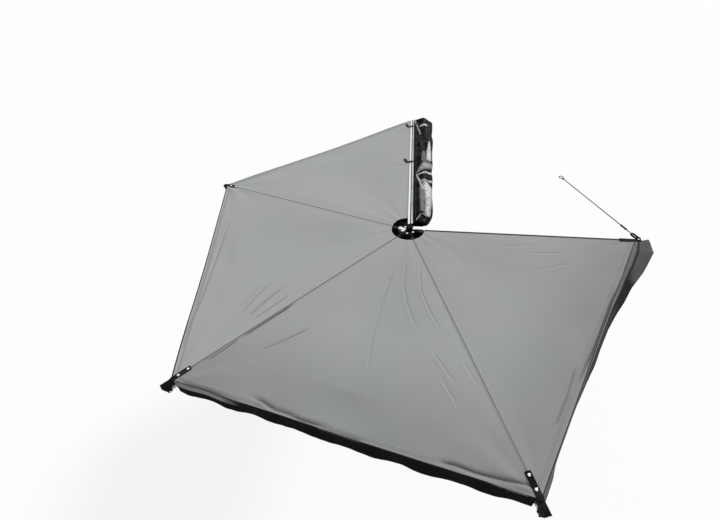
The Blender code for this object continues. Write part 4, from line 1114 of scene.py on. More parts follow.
def fold_with(piece: Piece, surface: PanelSurface) -> None:
    """Bakes a piece of cloth's transform into its mesh and reads its points; nothing here makes it fold between its
    panel's two bodies.

    Args:
        piece: The piece, with its final mesh.
        surface: The panel that it lies on.
    """
    first, second = surface.bodies
    lay = surface.layout
    start = lay.world((surface.inner_a + surface.outer_a) / 2)
    end = lay.world((surface.inner_b + surface.outer_b) / 2)
    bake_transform(piece)
    row = np.zeros(len(piece.data.vertices) * 3, np.float32)
    piece.data.vertices.foreach_get("co", row)


@dataclass(frozen=True)
class Bars:
    """The sizes of small bars that are laid along a line, such as stitches."""

    pitch: float = 0.009
    length: float = 0.0058
    radius: float = 0.0005


class RepeatedParts:
    """Geometry Nodes trees that lay small parts on points and along lines."""

    def __init__(self) -> None:
        """Builds the trees."""
        self.bars, self.domes = self._bar_tree(), self._dome_tree()

    @staticmethod
    def _lay(sheet: NodeSheet, part: Socket, points: Socket, upward: Socket, sizes: tuple, finish: Socket) -> Tree:
        """Lays a part on points and ends the tree.

        Args:
            sheet: The tree's sheet.
            part: The part.
            points: The points.
            upward: Which way the part's Z faces.
            sizes: How many times as large it gets along each axis.
            finish: Its finish.

        Returns:
            The tree.
        """
        turn = sheet.node("FunctionNodeAlignRotationToVector", {"Vector": upward}, axis="Z").outputs[0]
        size = sheet.node("ShaderNodeCombineXYZ", dict(enumerate(sizes))).outputs[0]
        inputs = {"Points": points, "Instance": part, "Rotation": turn, "Scale": size}
        laid = sheet.node("GeometryNodeInstanceOnPoints", inputs).outputs[0]
        real = sheet.node("GeometryNodeRealizeInstances", {0: laid}).outputs[0]
        dressed = sheet.node("GeometryNodeSetMaterial", {"Geometry": real, "Material": finish}).outputs[0]
        return sheet.end(parts=dressed)

    def _bar_tree(self) -> Tree:
        """A tree that lays short bars end to end along the edges that it is given.

        Returns:
            The tree.
        """
        inputs = {"lines": "Geometry", "pitch": "Float", "length": "Float", "radius": "Float", "finish": "Material"}
        sheet, given = NodeSheet.group("bars_along_lines", "Geometry", inputs, {"parts": "Geometry"})
        lines, pitch, length, radius, finish = given
        curve = sheet.node("GeometryNodeMeshToCurve", {"Mesh": lines}).outputs[0]
        spaced = sheet.node("GeometryNodeResampleCurve", {"Curve": curve, "Length": pitch}, mode="LENGTH").outputs[0]
        sizes = {"Vertices": 6, "Radius": radius, "Depth": length}
        bar = sheet.node("GeometryNodeMeshCylinder", sizes, fill_type="NGON").outputs["Mesh"]
        along = sheet.node("GeometryNodeInputTangent").outputs[0]
        return self._lay(sheet, bar, spaced, along, (1.0, 1.0, 1.0), finish)

    def _dome_tree(self) -> Tree:
        """A tree that puts a low dome on every point that it is given, turned to one direction.

        Returns:
            The tree.
        """
        inputs = {"points": "Geometry", "radius": "Float", "height": "Float", "upward": "Vector", "finish": "Material"}
        sheet, given = NodeSheet.group("domes_on_points", "Geometry", inputs, {"parts": "Geometry"})
        points, radius, height, upward, finish = given
        ball = sheet.node("GeometryNodeMeshUVSphere", {"Segments": 24, "Rings": 16, "Radius": 1.0}).outputs["Mesh"]
        return self._lay(sheet, ball, points, upward, (radius, radius, height), finish)

    @staticmethod
    def run(name: str, tree: Tree, points: list[Point], edges: list[tuple[int, int]], **values: object) -> Piece:
        """Runs a tree on points and edges, as one plain piece.

        Args:
            name: The piece's name.
            tree: The tree.
            points: The places, in the row frame.
            edges: The pairs of them that are joined.
            **values: What the tree's other inputs get.

        Returns:
            The piece.
        """
        mesh = bpy.data.meshes.new(name)
        mesh.from_pydata(points, edges, [])
        piece = new_object(name, mesh)
        run = piece.modifiers.new("parts", "NODES")
        run.node_group = tree
        for item in tree.interface.items_tree:
            if item.in_out == "INPUT" and item.name in values:
                run[item.identifier] = values[item.name]
        plain_mesh(piece)
        piece.data.shade_smooth()
        return piece

    def along(self, name: str, lines: list[Array], finish: str, bars: Bars) -> Piece:
        """Lays bars along lines as one plain piece.

        Args:
            name: The piece's name.
            lines: Lines of places, in the row frame.
            finish: The finish's short name.
            bars: The bars' sizes.

        Returns:
            The piece.
        """
        points, edges = [], []
        for line in lines:
            start = len(points)
            points += [tuple(p) for p in line]
            edges += [(i, i + 1) for i in range(start, len(points) - 1)]
        return self.run(name, self.bars, points, edges, pitch=bars.pitch, length=bars.length, radius=bars.radius,
                        finish=FINISHES.get(finish))


@dataclass
class CanopyPanel:
    """One cloth panel with its hem stitches and its edge binding."""

    surface: PanelSurface
    repeats: RepeatedParts
    thickness: float = 0.0012
    rows: int = 205
    columns: int = 225
    binding_width: float = 0.007
    binding_thickness: float = 0.0010
    overhang: float = 0.001
    stitches: Bars = Bars(radius=0.00055)
    stitch_rows: tuple[float, ...] = (0.024, 0.031)
    hub_allowance: float = 0.05
    line_points: int = 91

    def build(self) -> None:
        """Builds the panel and what is sewn on it."""
        name = self.surface.arm.value
        panel, pieces = self._cloth(), [self._binding(), self._stitches()]
        for piece in [panel] + pieces:
            fold_with(piece, self.surface)
        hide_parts("canopy_" + name)
        before = self.surface.layout.before(self.surface.arm)

    def _cloth(self) -> Piece:
        """The cloth itself, as a thin solid.

        Returns:
            The piece.
        """
        surface = self.surface
        hem = surface.hem_width / surface.depth
        edge = np.array([0.0, 0.10, 0.35, 0.65, 0.92, 1.0, 1.10]) * hem
        inner = np.linspace(1.3 * hem, 1.0, self.rows) ** 1.04
        u = 1.0 - np.concatenate([edge, inner])[::-1]
        u[0] = 0.0
        even = np.linspace(0.0, 1.0, self.columns + 1)
        v = 0.72 * even + 0.28 * (0.5 - 0.5 * np.cos(np.pi * even))
        grid_u, grid_v = np.meshgrid(u, v, indexing="ij")
        points = surface.surface(grid_u, grid_v)
        base = surface.plain(grid_u, grid_v)
        along = (base - surface.outer_a) @ surface.edge
        inward = -(base - surface.outer_a) @ surface.outward
        mesh = grid_mesh(surface.layout.world(points), np.stack([along, inward], axis=-1))
        cells = np.cross(base[1:, :-1] - base[:-1, :-1], base[:-1, 1:] - base[:-1, :-1])
        self.area = float(np.linalg.norm(cells, axis=-1).sum())
        near_a, near_b = surface.from_lines(base)
        mark_points(mesh, {HEM_NAME: (1.0 - grid_u) * surface.depth, SEAM_NAME: np.minimum(near_a, near_b),
                           PAINTED_SHADE_NAME: surface.painted_shade(base, grid_u)})
        piece = new_object(surface.arm.value + "_panel", mesh, "canopy", "canopy_inside")
        thicken(piece, self.thickness)
        return piece

    def line_at(self, inward: float, lift: float, start: float = 0.012, end: float = 0.988) -> Array:
        """A line over the panel that runs along its outer edge.

        Args:
            inward: How far from the edge it is.
            lift: How far over the cloth's middle it is.
            start: The share along the edge at which it starts.
            end: The share at which it ends.

        Returns:
            Its places, in the row frame.
        """
        v = np.linspace(start, end, self.line_points)
        points = self.surface.surface(np.full_like(v, 1.0 - inward / self.surface.depth), v)
        points[:, 2] += lift
        return self.surface.layout.world(points)

    def _binding(self) -> Piece:
        """The dark tape folded over the panel's outer edge.

        Returns:
            The piece.
        """
        lift = self.thickness / 2 + self.binding_thickness / 2
        path = self.line_at(self.binding_width / 2 - self.overhang, lift, 0.004, 0.996)
        section = flat_section(self.binding_width, self.binding_thickness)
        finish = "hem_tape" if self.surface.arm is Arm.END else "binding"
        return sweep(self.surface.arm.value + "_edge_binding", finish, path, section, self.surface.outward)

    def _stitches(self) -> Piece:
        """Two rows of stitches along the hem.

        Returns:
            The piece.
        """
        lift = self.thickness / 2 + self.stitches.radius * 0.4
        lines = [self.line_at(inward, lift) for inward in self.stitch_rows]
        return self.repeats.along(self.surface.arm.value + "_hem_stitches", lines, "thread", self.stitches)


@dataclass
class Skirt:
    """The dark skirt that hangs from one panel's outer edge."""

    surface: PanelSurface
    repeats: RepeatedParts
    drop: float = 0.145
    thickness: float = 0.0012
    wave: float = 0.0045
    wave_length: float = 0.31
    ripple: float = 0.0022
    ragged: float = 0.0040
    flare: tuple[Pair, ...] = (
        (0.0, 0.030), (0.08, 0.028), (0.115, 0.013), (0.30, 0.018), (0.45, 0.036), (0.61, 0.040), (0.68, 0.056),
        (0.75, 0.076), (0.82, 0.089), (0.89, 0.118), (0.955, 0.137), (1.0, 0.078),
    )
    lean: float = 0.120
    rear_drop: tuple[float, ...] = (0.80, 0.70, 0.77, 0.80, 0.78, 0.64)
    corner_air: float = 0.024
    cloth: float = 0.0020
    columns: int = 220
    rows: int = 18
    stitches: Bars = Bars(length=0.006, radius=0.0006)

    def build(self) -> None:
        """Builds the skirt and its stitches."""
        name = self.surface.arm.value
        points, plan = self._places()
        mesh = grid_mesh(points, plan)
        drops = np.broadcast_to(np.linspace(0.0, self.drop, self.rows + 1)[:, None], plan.shape[:2])
        mark_points(mesh, {HEM_NAME: self.drop - drops, SEAM_NAME: np.ones(plan.shape[:2]),
                           COATING_AND_HIGHLIGHT_NAME: self._worn(plan, drops / self.drop)})
        skirt = new_object(name + "_skirt", mesh, "skirt", "skirt_inside")
        thicken(skirt, self.thickness)
        out = self.surface.outward * (self.thickness / 2 + THREAD_LIFT)
        stitches = self.repeats.along(name + "_skirt_stitches", [points[2] + out, points[-3] + out], "black_thread",
                                      self.stitches)
        for piece in (skirt, stitches):
            fold_with(piece, self.surface)
        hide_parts("valance_" + name)

    def _worn(self, plan: Array, drops: Array) -> Array:
        """Where the skirt's black face is worn to its grey coating, and where its pale facing shows.

        Args:
            plan: The places on the flat cloth.
            drops: Their shares down the skirt.

        Returns:
            0 where it is black, 0.5 where it is grey and 1 where it is pale.
        """
        t = plan[..., 0] / self.surface.span
        if self.surface.arm is Arm.REAR:
            return (1.0 - smooth(t, 0.15, 0.24)) * (1.0 - smooth(drops, 0.34, 0.46))
        if self.surface.arm is not Arm.END:
            return np.zeros_like(t)
        uneven = noise_field(np.stack([plan[..., 0], plan[..., 1], np.zeros_like(t)], axis=-1), (6.0, 14.0, 1.0), 4.0)
        near = smooth(t, 0.62, 0.75)
        rim = 0.12 + 0.10 * near - 0.08 * smooth(t, 0.86, 0.96)
        pale = (1.0 - smooth(drops, rim, rim + 0.11)) * (1.0 - 0.30 * near)
        grey = 0.5 * smooth(t + 0.03 * uneven, 0.79, 0.86) * smooth(drops, rim + 0.14, rim + 0.20)
        grey = np.maximum(grey * (0.86 + 0.22 * uneven), 0.13)
        line = 0.5 * np.exp(-(((drops - 0.58) / 0.07) ** 2)) * (1.0 - near) + 0.4 * (1.0 - smooth(t, 0.08, 0.115))
        return np.clip(np.maximum(np.maximum(pale, grey), line), 0.0, 1.0)

    def _places(self) -> tuple[Array, Array]:
        """The skirt's grid and its map on the flat cloth.

        Returns:
            The places in the row frame, and their places on the cloth.
        """
        surface = self.surface
        flared = surface.arm is Arm.END
        end_air = self.corner_air + surface.end_overhang * 1.2 * flared
        t = np.linspace(0.0, 1.0, self.columns + 1)
        v = self.corner_air / surface.span * (1 - t) + (1.0 - end_air / surface.span) * t
        top = surface.surface(np.ones_like(v), v)
        waves = round(surface.span / self.wave_length)
        seed = 3.0 + list(Arm).index(surface.arm)
        flare = np.interp(t, *np.array(self.flare).T) * flared
        lean = self.lean * smooth(t, 0.90, 1.0) * flared
        fall = np.sqrt(self.drop ** 2 - flare ** 2) * (1.0 - 0.8 * flared * smooth(t, 0.88, 1.0))
        shares = self.rear_drop if surface.arm is Arm.REAR else (1.0, 1.0)
        fall = fall * np.interp(t, np.linspace(0.0, 1.0, len(shares)), shares)
        calm = 0.15 if flared else 1.0
        rows, plan = [], []
        for drop in np.linspace(0.0, 1.0, self.rows + 1):
            places = np.stack([v * surface.span, np.full_like(v, drop * 0.3), np.full_like(v, seed)], axis=-1)
            out, wave = surface.layout.clear + self.cloth / 2, self.wave * calm * drop
            out = out + wave * (1.0 + np.sin(2 * np.pi * waves * t))
            out = out + wave * noise_field(places, (7.0, 2.0, 1.0), seed)
            out = out + self.ripple * calm * drop * noise_field(places, (19.0, 4.0, 1.0), seed + 5.0)
            out = out + flare * drop
            ragged = self.ragged * noise_field(places, (11.0, 1.0, 1.0), seed + 9.0) * drop * calm
            line = top + surface.outward * out[:, None] + surface.edge * (lean * drop)[:, None]
            line[:, 2] += surface.layout.cloth / 2 - fall * drop + ragged
            line[:, 2] += 0.07 * flare * math.sin(math.pi * drop) * noise_field(places, (13.0, 5.0, 1.0), 2.0)
            rows.append(line)
            plan.append(np.stack([v * surface.span, np.full_like(v, self.drop * drop)], axis=-1))
        return surface.layout.world(np.array(rows)), np.array(plan)


@dataclass
class SeamTape:
    """The tape over one boom's seam, with a row of stitches along each side; the side and rear tapes' dark and grey
    colours are painted shade of the seam grooves.
    """

    layout: FanLayout
    arm: Arm
    repeats: RepeatedParts
    finish: str
    width: float
    thickness: float = 0.0008
    height: float = 0.0020
    plate_length: float = 0.130
    stitch_inset: float = 0.18
    inset: float = 0.004

    def build(self) -> None:
        """Builds the tape and its stitches."""
        lay, name = self.layout, self.arm.value
        line = lay.lines[name]
        run = (line.tip - line.root) / np.linalg.norm(line.tip - line.root)
        side = np.array(lay.frames[name].to_3x3() @ Vector((1.0, 0.0, 0.0)))
        up = np.cross(side, run)
        shift = side * (-self.inset if self.arm is Arm.END else 0.0)
        length = float((line.tip - line.root) @ run) - self.plate_length - self.inset
        steps = np.linspace(self.inset / 2, length, 60)
        path = lay.world(line.root + run * steps[:, None] + up * self.height + shift)
        tape = sweep(name + "_seam_tape", self.finish, path, flat_section(self.width, self.thickness), side)
        aside, over = side * self.width * (0.5 - self.stitch_inset), up * (self.thickness / 2 + THREAD_LIFT)
        rows = [path - aside + over, path + aside + over]
        thread = self.repeats.along(name + "_seam_stitches", rows, "thread", Bars())
        for piece in (tape, thread):
            fasten(piece, self.arm.body)
        LOG.info("seam tape %s: %.2f m", name, length)


@dataclass(frozen=True)
class HighlightRidge:
    """A raised ridge on the travel cover with a painted highlight along it, between two places across and along the
    rail, about the hub.
    """

    start: Pair
    end: Pair
    first: float = 0.010
    last: float = 0.010
    share: float = 1.0

    def share_at(self, x: float, y: float) -> float:
        """How strong the streak is at one place.

        Args:
            x: The place across the rail.
            y: The place along it.

        Returns:
            A share from 0 to 1.
        """
        run = (self.end[0] - self.start[0], self.end[1] - self.start[1])
        length = math.hypot(*run)
        off = (x - self.start[0], y - self.start[1])
        along = (off[0] * run[0] + off[1] * run[1]) / length ** 2
        near = min(1.0, max(0.0, along))
        half = self.first + (self.last - self.first) * near
        gap = math.hypot(off[0] - run[0] * near, off[1] - run[1] * near)
        return self.share * max(0.0, 1.0 - (gap / half) ** 2) ** 0.7 if gap < half else 0.0


@dataclass
class TravelCover:
    """The emptied travel cover: a creased glossy sleeve that lies over the brackets, with painted highlights on its
    ridges, and with its piping and zip.
    """

    layout: FanLayout
    repeats: RepeatedParts
    start: float = 0.037
    length: float = 2.033
    edge_x: float = 0.230
    spread: float = 0.060
    crown: float = 0.046
    floor_z: float = -0.0215
    hem: float = 0.010
    shoulder: float = 0.004
    rear_taper: float = 0.060
    front_taper: float = 0.045
    end_draw: float = 0.050
    pinch_length: float = 0.090
    cloth: float = 0.0024
    rail_width: float = 0.038
    slot_x: float = 0.0185
    keder_radius: float = 0.0040
    brackets: tuple[float, ...] = (0.075, 0.875, 1.675)
    stations: int = 320
    steps: int = 60
    lead: int = 4
    crumple: float = 0.009
    streak_rise: float = 0.005
    flange_tape: float = 0.0255
    tied_at: float = 0.80
    trim_lift: float = 0.0012
    piping_radius: float = 0.0030
    zip_inset: int = 20
    zip_half: float = 0.0022
    zip_teeth: Bars = Bars(0.0055, 0.0026, 0.0014)

    def build(self) -> None:
        """Builds the cover, its piping and its zip."""
        i = np.linspace(0.0, 1.0, self.stations + 1)
        share = 0.6 * (0.5 - 0.5 * np.cos(np.pi * i)) + 0.4 * i
        rings = np.array([self._section(self.start + self.length * s) for s in share])
        mesh = self._skin(rings)
        cover = new_object("cover_sleeve", mesh, "cover", "keder")
        tape = np.arange(len(mesh.polygons)) % rings.shape[1] == 2
        tape[-2:] = False
        mesh.polygons.foreach_set("material_index", tape.astype(np.int32))
        mesh.update()
        fasten(cover, "rail_body", "travel_cover")
        for piece in self._trims(rings):
            fasten(piece, "rail_body")
        LOG.info("travel cover: %.2f m long", self.length)

    def _section(self, y: float) -> Array:
        """The sleeve's outline across the rail at one place along it.

        Args:
            y: The place along the rail, about the hub.

        Returns:
            The outline's places, in the row frame.
        """
        lay = self.layout
        share = (y - self.start) / self.length
        ends = max(0.0, min(1.0, share / self.rear_taper, (1.0 - share) / self.front_taper))
        full = math.sqrt(1.0 - (1.0 - ends) ** 2)
        pinch = sum(math.exp(-((y - b) / self.pinch_length) ** 2) for b in self.brackets)
        ripple = 0.12 * math.sin(23.0 * y) + 0.09 * math.sin(41.0 * y + 1.0)
        crown = self.crown * (0.12 + 0.88 * full) * (1.0 - 0.30 * pinch) * (1.0 + ripple)
        edge = self.edge_x + self.spread * (share - 0.5) - 0.012 * pinch
        edge += 0.004 * math.sin(9.0 * y) - self.end_draw * (1.0 - full)
        near = self.rail_width + 2 * self.shoulder
        half, over = self.cloth / 2, lay.clear + self.cloth
        tongue = lay.slot_z + self.keder_radius - self.cloth / 2
        shoulder = self.rail_width + self.shoulder / 2
        points = [(self.slot_x - half, tongue), (self.slot_x - half, over), (self.flange_tape, over), (shoulder, over)]
        for i in range(self.steps + 1):
            t = i / self.steps
            hump = math.sin(math.pi * min(1.0, 0.08 + 0.92 * t)) ** 0.7
            lump = 1.0 + 0.16 * math.sin(2.5 * math.pi * t + 5.0 * y)
            x = near + (edge - near) * t
            rise = crown * hump * lump * (1 - t ** 6)
            free = math.sin(math.pi * min(1.0, max(0.0, t))) ** 0.5 * (0.25 + 0.75 * full)
            z = over + (self.floor_z + self.hem - over) * t + rise + self._creases(x, y) * free
            z += self.streak_rise * self._ridge_and_highlight(x, y) * free
            points.append((x, max(z, self.floor_z + self.hem * 0.5)))
        middle = near + (edge - near) * 0.5
        points += [(x, self.floor_z) for x in (edge - self.shoulder, middle, near + self.shoulder)]
        points += [(near - self.shoulder, lay.clear - self.cloth), (shoulder, lay.clear)]
        points += [(self.slot_x + half, lay.clear), (self.slot_x + half, tongue)]
        return lay.world(np.array([(x, y, z) for x, z in points]))

    def _creases(self, x: float, y: float) -> float:
        """How far the sharp creases of the cloth rise or fall at one place.

        Args:
            x: The place across the rail, about the hub.
            y: The place along it.

        Returns:
            The height.
        """
        spots = (x * 9.0 + y * 3.0, y * 4.2, 2.0), (x * 14.0 - y * 9.0, y * 8.0, 9.0), (x * 34.0, y * 21.0, 5.0)
        wide, cross, fine = (1.0 - 2.0 * abs(noise.noise(Vector(spot))) for spot in spots)
        off = y - self.tied_at
        fan = math.sin(2.0 * math.atan2(off, x - 0.02) * 5.0) * math.exp(-(off / 0.16) ** 2)
        return self.crumple * (0.85 * wide + 0.40 * cross + 0.08 * fine - 0.6 + 0.5 * fan)

    @staticmethod
    def _ridge_and_highlight(x: float, y: float) -> float:
        """How raised the cloth is, and how strong its painted highlight is, at one place, from 0 to 1."""
        return max(streak.share_at(x, y) for streak in HIGHLIGHT_RIDGES)

    def _skin(self, rings: Array) -> Mesh:
        """A closed skin over the rings, with both ends filled.

        Args:
            rings: The rings of places.

        Returns:
            The mesh.
        """
        around = np.concatenate([np.zeros((len(rings), 1)),
                                 np.cumsum(np.linalg.norm(np.diff(rings, axis=1), axis=2), axis=1)], axis=1)
        plan = np.stack([rings[..., 1], around], axis=-1)
        mesh = grid_mesh(rings, plan, closed=True)
        close_skin(mesh, rings.shape[1])
        about = rings.reshape(-1, 3) - np.array(self.layout.hub)
        # Painted highlights on the ridges of the sleeve's hump.
        pale = np.array([self._ridge_and_highlight(x, y) for x, y, _ in about])
        hump = np.arange(len(pale)) % rings.shape[1]
        pale[(hump < self.lead) | (hump > self.lead + self.steps)] = 0.0
        mark_points(mesh, {COATING_AND_HIGHLIGHT_NAME: pale})
        return mesh

    def _trims(self, rings: Array) -> list[Piece]:
        """The pale piping at the cover's ends and the zip along it.

        Args:
            rings: The sleeve's rings.

        Returns:
            The pieces.
        """
        lift = np.array((0.0, 0.0, self.trim_lift))
        made = []
        for label, a, low, b, high in (("first", 9, 0.15, 30, 0.38), ("second", 33, 0.46, 25, 0.72)):
            shares = np.linspace(0.0, 1.0, 15)
            spots = [(a + (b - a) * s, self.lead + self.steps * (low + (high - low) * s)) for s in shares]
            path = np.array([rings[round(i), round(j)] for i, j in spots]) + lift
            made.append(sweep("cover_piping_" + label, "piping", path, round_section(self.piping_radius, 8),
                              (0.0, 0.0, 1.0)))
        row = rings[self.zip_inset:-self.zip_inset, self.lead + int(self.steps * 0.10)] + lift * 0.8
        aside = np.array((self.zip_half, 0.0, 0.0))
        made.append(self.repeats.along("cover_zip", [row - aside, row + aside], "zip", self.zip_teeth))
        return made


@dataclass
class TieStrap:
    """A webbing tie from the cover over the rail, with its tail on the canopy."""

    surface: PanelSurface
    name: str
    y: float
    width: float = 0.030
    thickness: float = 0.0018
    tail: float = 0.085
    turn_deg: float = 75.0
    rise: float = 0.006
    steps: int = 8
    bend: float = 0.004
    rail_width: float = 0.038
    cover_cloth: float = 0.0024

    def build(self) -> None:
        """Builds the strap."""
        rows = np.array(self._rows())
        middle = self.surface.layout.world(spline_through(rows[:, 1], 6))
        sides = spline_through(rows[:, 2] - rows[:, 0], 6)
        strap = sweep(self.name, "webbing", middle, flat_section(self.width, self.thickness), sides)
        fasten(strap, "rail_body", "tie_" + self.name)
        LOG.info("%s", self.name)

    def _rows(self) -> list[list[Point]]:
        """Places across the strap, row after row: flat over the rail, then out on the canopy and forward.

        Returns:
            Three places for each row, about the hub.
        """
        lay = self.surface.layout
        over = 2 * lay.clear + self.cover_cloth + self.thickness / 2
        seat = lay.cloth / 2 + 2 * lay.clear + self.thickness / 2
        edges = (-self.width / 2, 0.0, self.width / 2)
        rows = []
        half = self.bend / 2
        for x, z in ((self.rail_width - half, over), (half / 2, over), (-self.bend, over - half)):
            rows.append([(x, self.y + w, z) for w in edges])
        x, y = -2.25 * self.bend, self.y
        for i in range(self.steps + 1):
            share = i / self.steps
            turn = math.radians(self.turn_deg) * math.sin(math.pi * share) ** 0.6
            lift = self.rise * share ** 2 + (self.bend * 0.75 if i == 0 else 0.0)
            spots = [(x + math.sin(turn) * w, y + math.cos(turn) * w) for w in edges]
            rows.append([(a, b, self._height(a, b) + seat + lift) for a, b in spots])
            x -= math.cos(turn) * self.tail / self.steps
            y += math.sin(turn) * self.tail / self.steps
        return rows

    def _height(self, x: float, y: float) -> float:
        """How high the first panel lies beside the rail.

        Args:
            x: The place across the rail, about the hub.
            y: The place along it.

        Returns:
            The height, about the hub.
        """
        lay = self.surface.layout
        u = (y - lay.hole_radius) / (lay.rail_start + lay.rail_length - lay.hole_radius)
        far = self.surface.plain(np.array(u), np.array(1.0))
        return float(self.surface.surface(np.array(u), np.array(x / far[0]))[2])


@dataclass
class GuyLine:
    """The taut cord from the end boom's corner to the rack, with its ring, hook, slider and tied end."""

    layout: FanLayout
    end: Point = (1.392, 0.800, -0.006)
    eye_along: float = 1.757
    eye_up: float = 0.02167
    ring_radius: float = 0.016
    ring_wire: float = 0.0030
    ring_shown: float = 0.0050
    ring_slack: float = 0.0014
    hook_length: float = 0.058
    hook_width: float = 0.025
    hook_wire: float = 0.0042
    hook_shown: float = 0.0068
    cord_radius: float = 0.0035
    loop_radius: float = 0.018
    slider_length: float = 0.060
    slider_radius: float = 0.0085
    slider_from: float = 0.045
    slider_groove: float = 0.0008
    whipping_length: float = 0.014
    whipping_turns: float = 5.0
    whipping_gap: float = 0.003
    whipping_radius: float = 0.0016
    points: int = 36

    def build(self) -> None:
        """Builds the guy line."""
        lay = self.layout
        eye = np.array(lay.frames["end"] @ Vector((0.0, self.eye_along, self.eye_up)))
        end = np.array(self.end)
        run = (end - eye) / np.linalg.norm(end - eye)
        level = np.cross(run, (0.0, 0.0, 1.0))
        level /= np.linalg.norm(level)
        rise = np.cross(level, run)
        middle = eye + run * (self.ring_slack + self.ring_radius)
        near = middle + run * (self.ring_radius - self.ring_wire - self.hook_wire - lay.clear + self.hook_width / 2)
        far = near + run * (self.hook_length - self.hook_width)
        start = far + run * (self.hook_width / 2 + self.hook_wire + lay.clear)
        stop = end - run * (self.loop_radius + self.cord_radius + lay.clear)
        turn = np.linspace(0.0, 2.0 * np.pi, 48, endpoint=False)[:, None]
        path = lay.world(middle + (run * np.cos(turn) + rise * np.sin(turn)) * self.ring_radius)
        ring = sweep("ring_of_corner", "black_casting", path, round_section(self.ring_shown), level, closed=True)
        turn = np.linspace(0.0, np.pi, 15)[:, None]
        bend = (level * np.cos(turn) - run * np.sin(turn)) * self.hook_width / 2
        path = lay.world(np.concatenate([near + bend, far - bend]))
        hook = sweep("hook_of_guy", "black_casting", path, round_section(self.hook_shown), rise, closed=True)
        slider = self._slider(start + run * (self.slider_from + self.slider_length / 2), run)
        loop = self._loop(end, run, level, rise)
        path = lay.world(start + (stop - start) * np.linspace(0.0, 1.0, self.points)[:, None])
        cord = sweep("guy_line", "cord", path, round_section(self.cord_radius, 14), level)
        for piece, slot, node in ((cord, "cord", "guy_cord"), (ring, "black_casting", "corner_ring"),
                                  (hook, "black_casting", "guy_hook"), (slider, "moulding", "guy_tensioner"),
                                  (loop, "cord", "guy_eye")):
            fasten(piece, "arm_end", node)

    def _loop(self, end: Array, run: Array, level: Array, rise: Array) -> Piece:
        """The tied eye at the rack, with the whipping where the cord meets itself.

        Args:
            end: The eye's middle, about the hub.
            run: The direction along the cord.
            level: The level one across it.
            rise: The one up from it.

        Returns:
            The eye.
        """
        turn = np.linspace(0.0, 2.0 * np.pi, 40, endpoint=False)[:, None]
        path = self.layout.world(end + (run * np.cos(turn) + level * np.sin(turn)) * self.loop_radius)
        loop = sweep("loop_of_guy", "cord", path, round_section(self.cord_radius), rise, closed=True)
        steps = np.linspace(0.0, 1.0, 60)[:, None]
        turn = 2.0 * np.pi * self.whipping_turns * steps
        knot = end - run * (self.loop_radius + self.whipping_gap)
        coil = knot - run * (self.whipping_length * steps)
        coil = coil + (level * np.cos(turn) + rise * np.sin(turn)) * (self.cord_radius * 1.45)
        wound = sweep("whipping_of_guy", "cord", self.layout.world(coil), round_section(self.whipping_radius, 8), run)
        wound.parent = loop
        return loop

    def _slider(self, middle: Array, run: Array) -> Piece:
        """The waisted slider on the cord, with grip ribs.

        Args:
            middle: Its middle, about the hub.
            run: The direction along the cord.

        Returns:
            The piece.
        """
        steps = np.linspace(-1.0, 1.0, 61)
        away = np.abs(steps)
        bore = self.cord_radius + self.layout.clear
        shape = self.slider_radius * (0.80 + 0.20 * away ** 1.6)
        shape -= self.slider_groove * (np.sin(steps * 26.0) > 0.45) * (away < 0.72)
        shape -= np.where(away > 0.9, self.slider_radius * 0.3 * ((away - 0.9) / 0.1) ** 2, 0.0)
        along = steps * self.slider_length / 2
        radii = np.concatenate([shape, [bore, bore]])
        along = np.concatenate([along, [along[-1], along[0]]])
        axis = Vector(run).to_track_quat("Z", "Y").to_matrix()
        turn = np.linspace(0.0, 2.0 * np.pi, 24, endpoint=False)
        ring = np.stack([np.cos(turn), np.sin(turn), np.zeros_like(turn)], axis=-1)
        points = ring[None] * radii[:, None, None] + np.array((0.0, 0.0, 1.0)) * along[:, None, None]
        points = points @ np.array(axis).T + self.layout.world(middle)
        points = np.concatenate([points, points[:1]])
        mesh = grid_mesh(points, np.zeros(points.shape[:2] + (2,)), closed=True)
        close_skin(mesh)
        mesh.set_sharp_from_angle(angle=math.radians(40))
        return new_object("slider_of_guy", mesh, "moulding")


@dataclass
class Metalwork:
    """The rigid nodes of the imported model, which keep their shape and get a finish; black castings aren't listed."""

    layout: FanLayout

    FINISH_OF = {
        "base_rail": "rail", "rail_end_cap": "moulding", "rack_bracket": "black_steel", "link_front": "casting",
        "hinge_bolt": "steel", "leg_clip": "moulding", "leg_bolt": "steel", "leg_outer": "leg", "leg_inner": "rail",
        "leg_collar": "moulding", "leg_foot": "rubber",
    }

    def build(self) -> None:
        """Gives every shown node its finish."""
        tubes = {"boom_" + arm.value: FINISHES.tube(arm, self.layout.azimuth(arm)) for arm in Arm}
        for name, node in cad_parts.items():
            if node.hide_render:
                continue
            # Nodes not listed, the hub guard among them, get black powder coat; the hub guard is a black plate that
            # stands in for the shade seen through the hub's hole.
            finish = next((self.FINISH_OF[kind] for kind in self.FINISH_OF if name.startswith(kind)), "black_casting")
            dress = tubes.get(name) or FINISHES.get(finish)
            for slot in node.material_slots:
                slot.material = dress
        LOG.info("finishes on %d nodes", len(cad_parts))


@dataclass
class CornerRivets:
    """The bright rivet heads on one boom's corner plate."""

    layout: FanLayout
    arm: Arm
    repeats: RepeatedParts
    insets: Pair = (0.048, 0.112)
    plate_top: float = 0.0228
    radius: float = 0.0082
    height: float = 0.0036

    def build(self) -> None:
        """Builds the heads."""
        lay, name = self.layout, self.arm.value
        axis, reach = lay.frames[name], lay.boom_reach[name]
        spots = [lay.world(np.array(axis @ Vector((0.0, reach - inset, self.plate_top)))) for inset in self.insets]
        upward = tuple(axis.to_3x3() @ Vector((0.0, 0.0, 1.0)))
        heads = self.repeats.run(name + "_corner_rivets", self.repeats.domes, [tuple(s) for s in spots], [],
                                 radius=self.radius, height=self.height, upward=upward, finish=FINISHES.get("steel"))
        fasten(heads, self.arm.body)
        LOG.info("corner rivets %s", name)


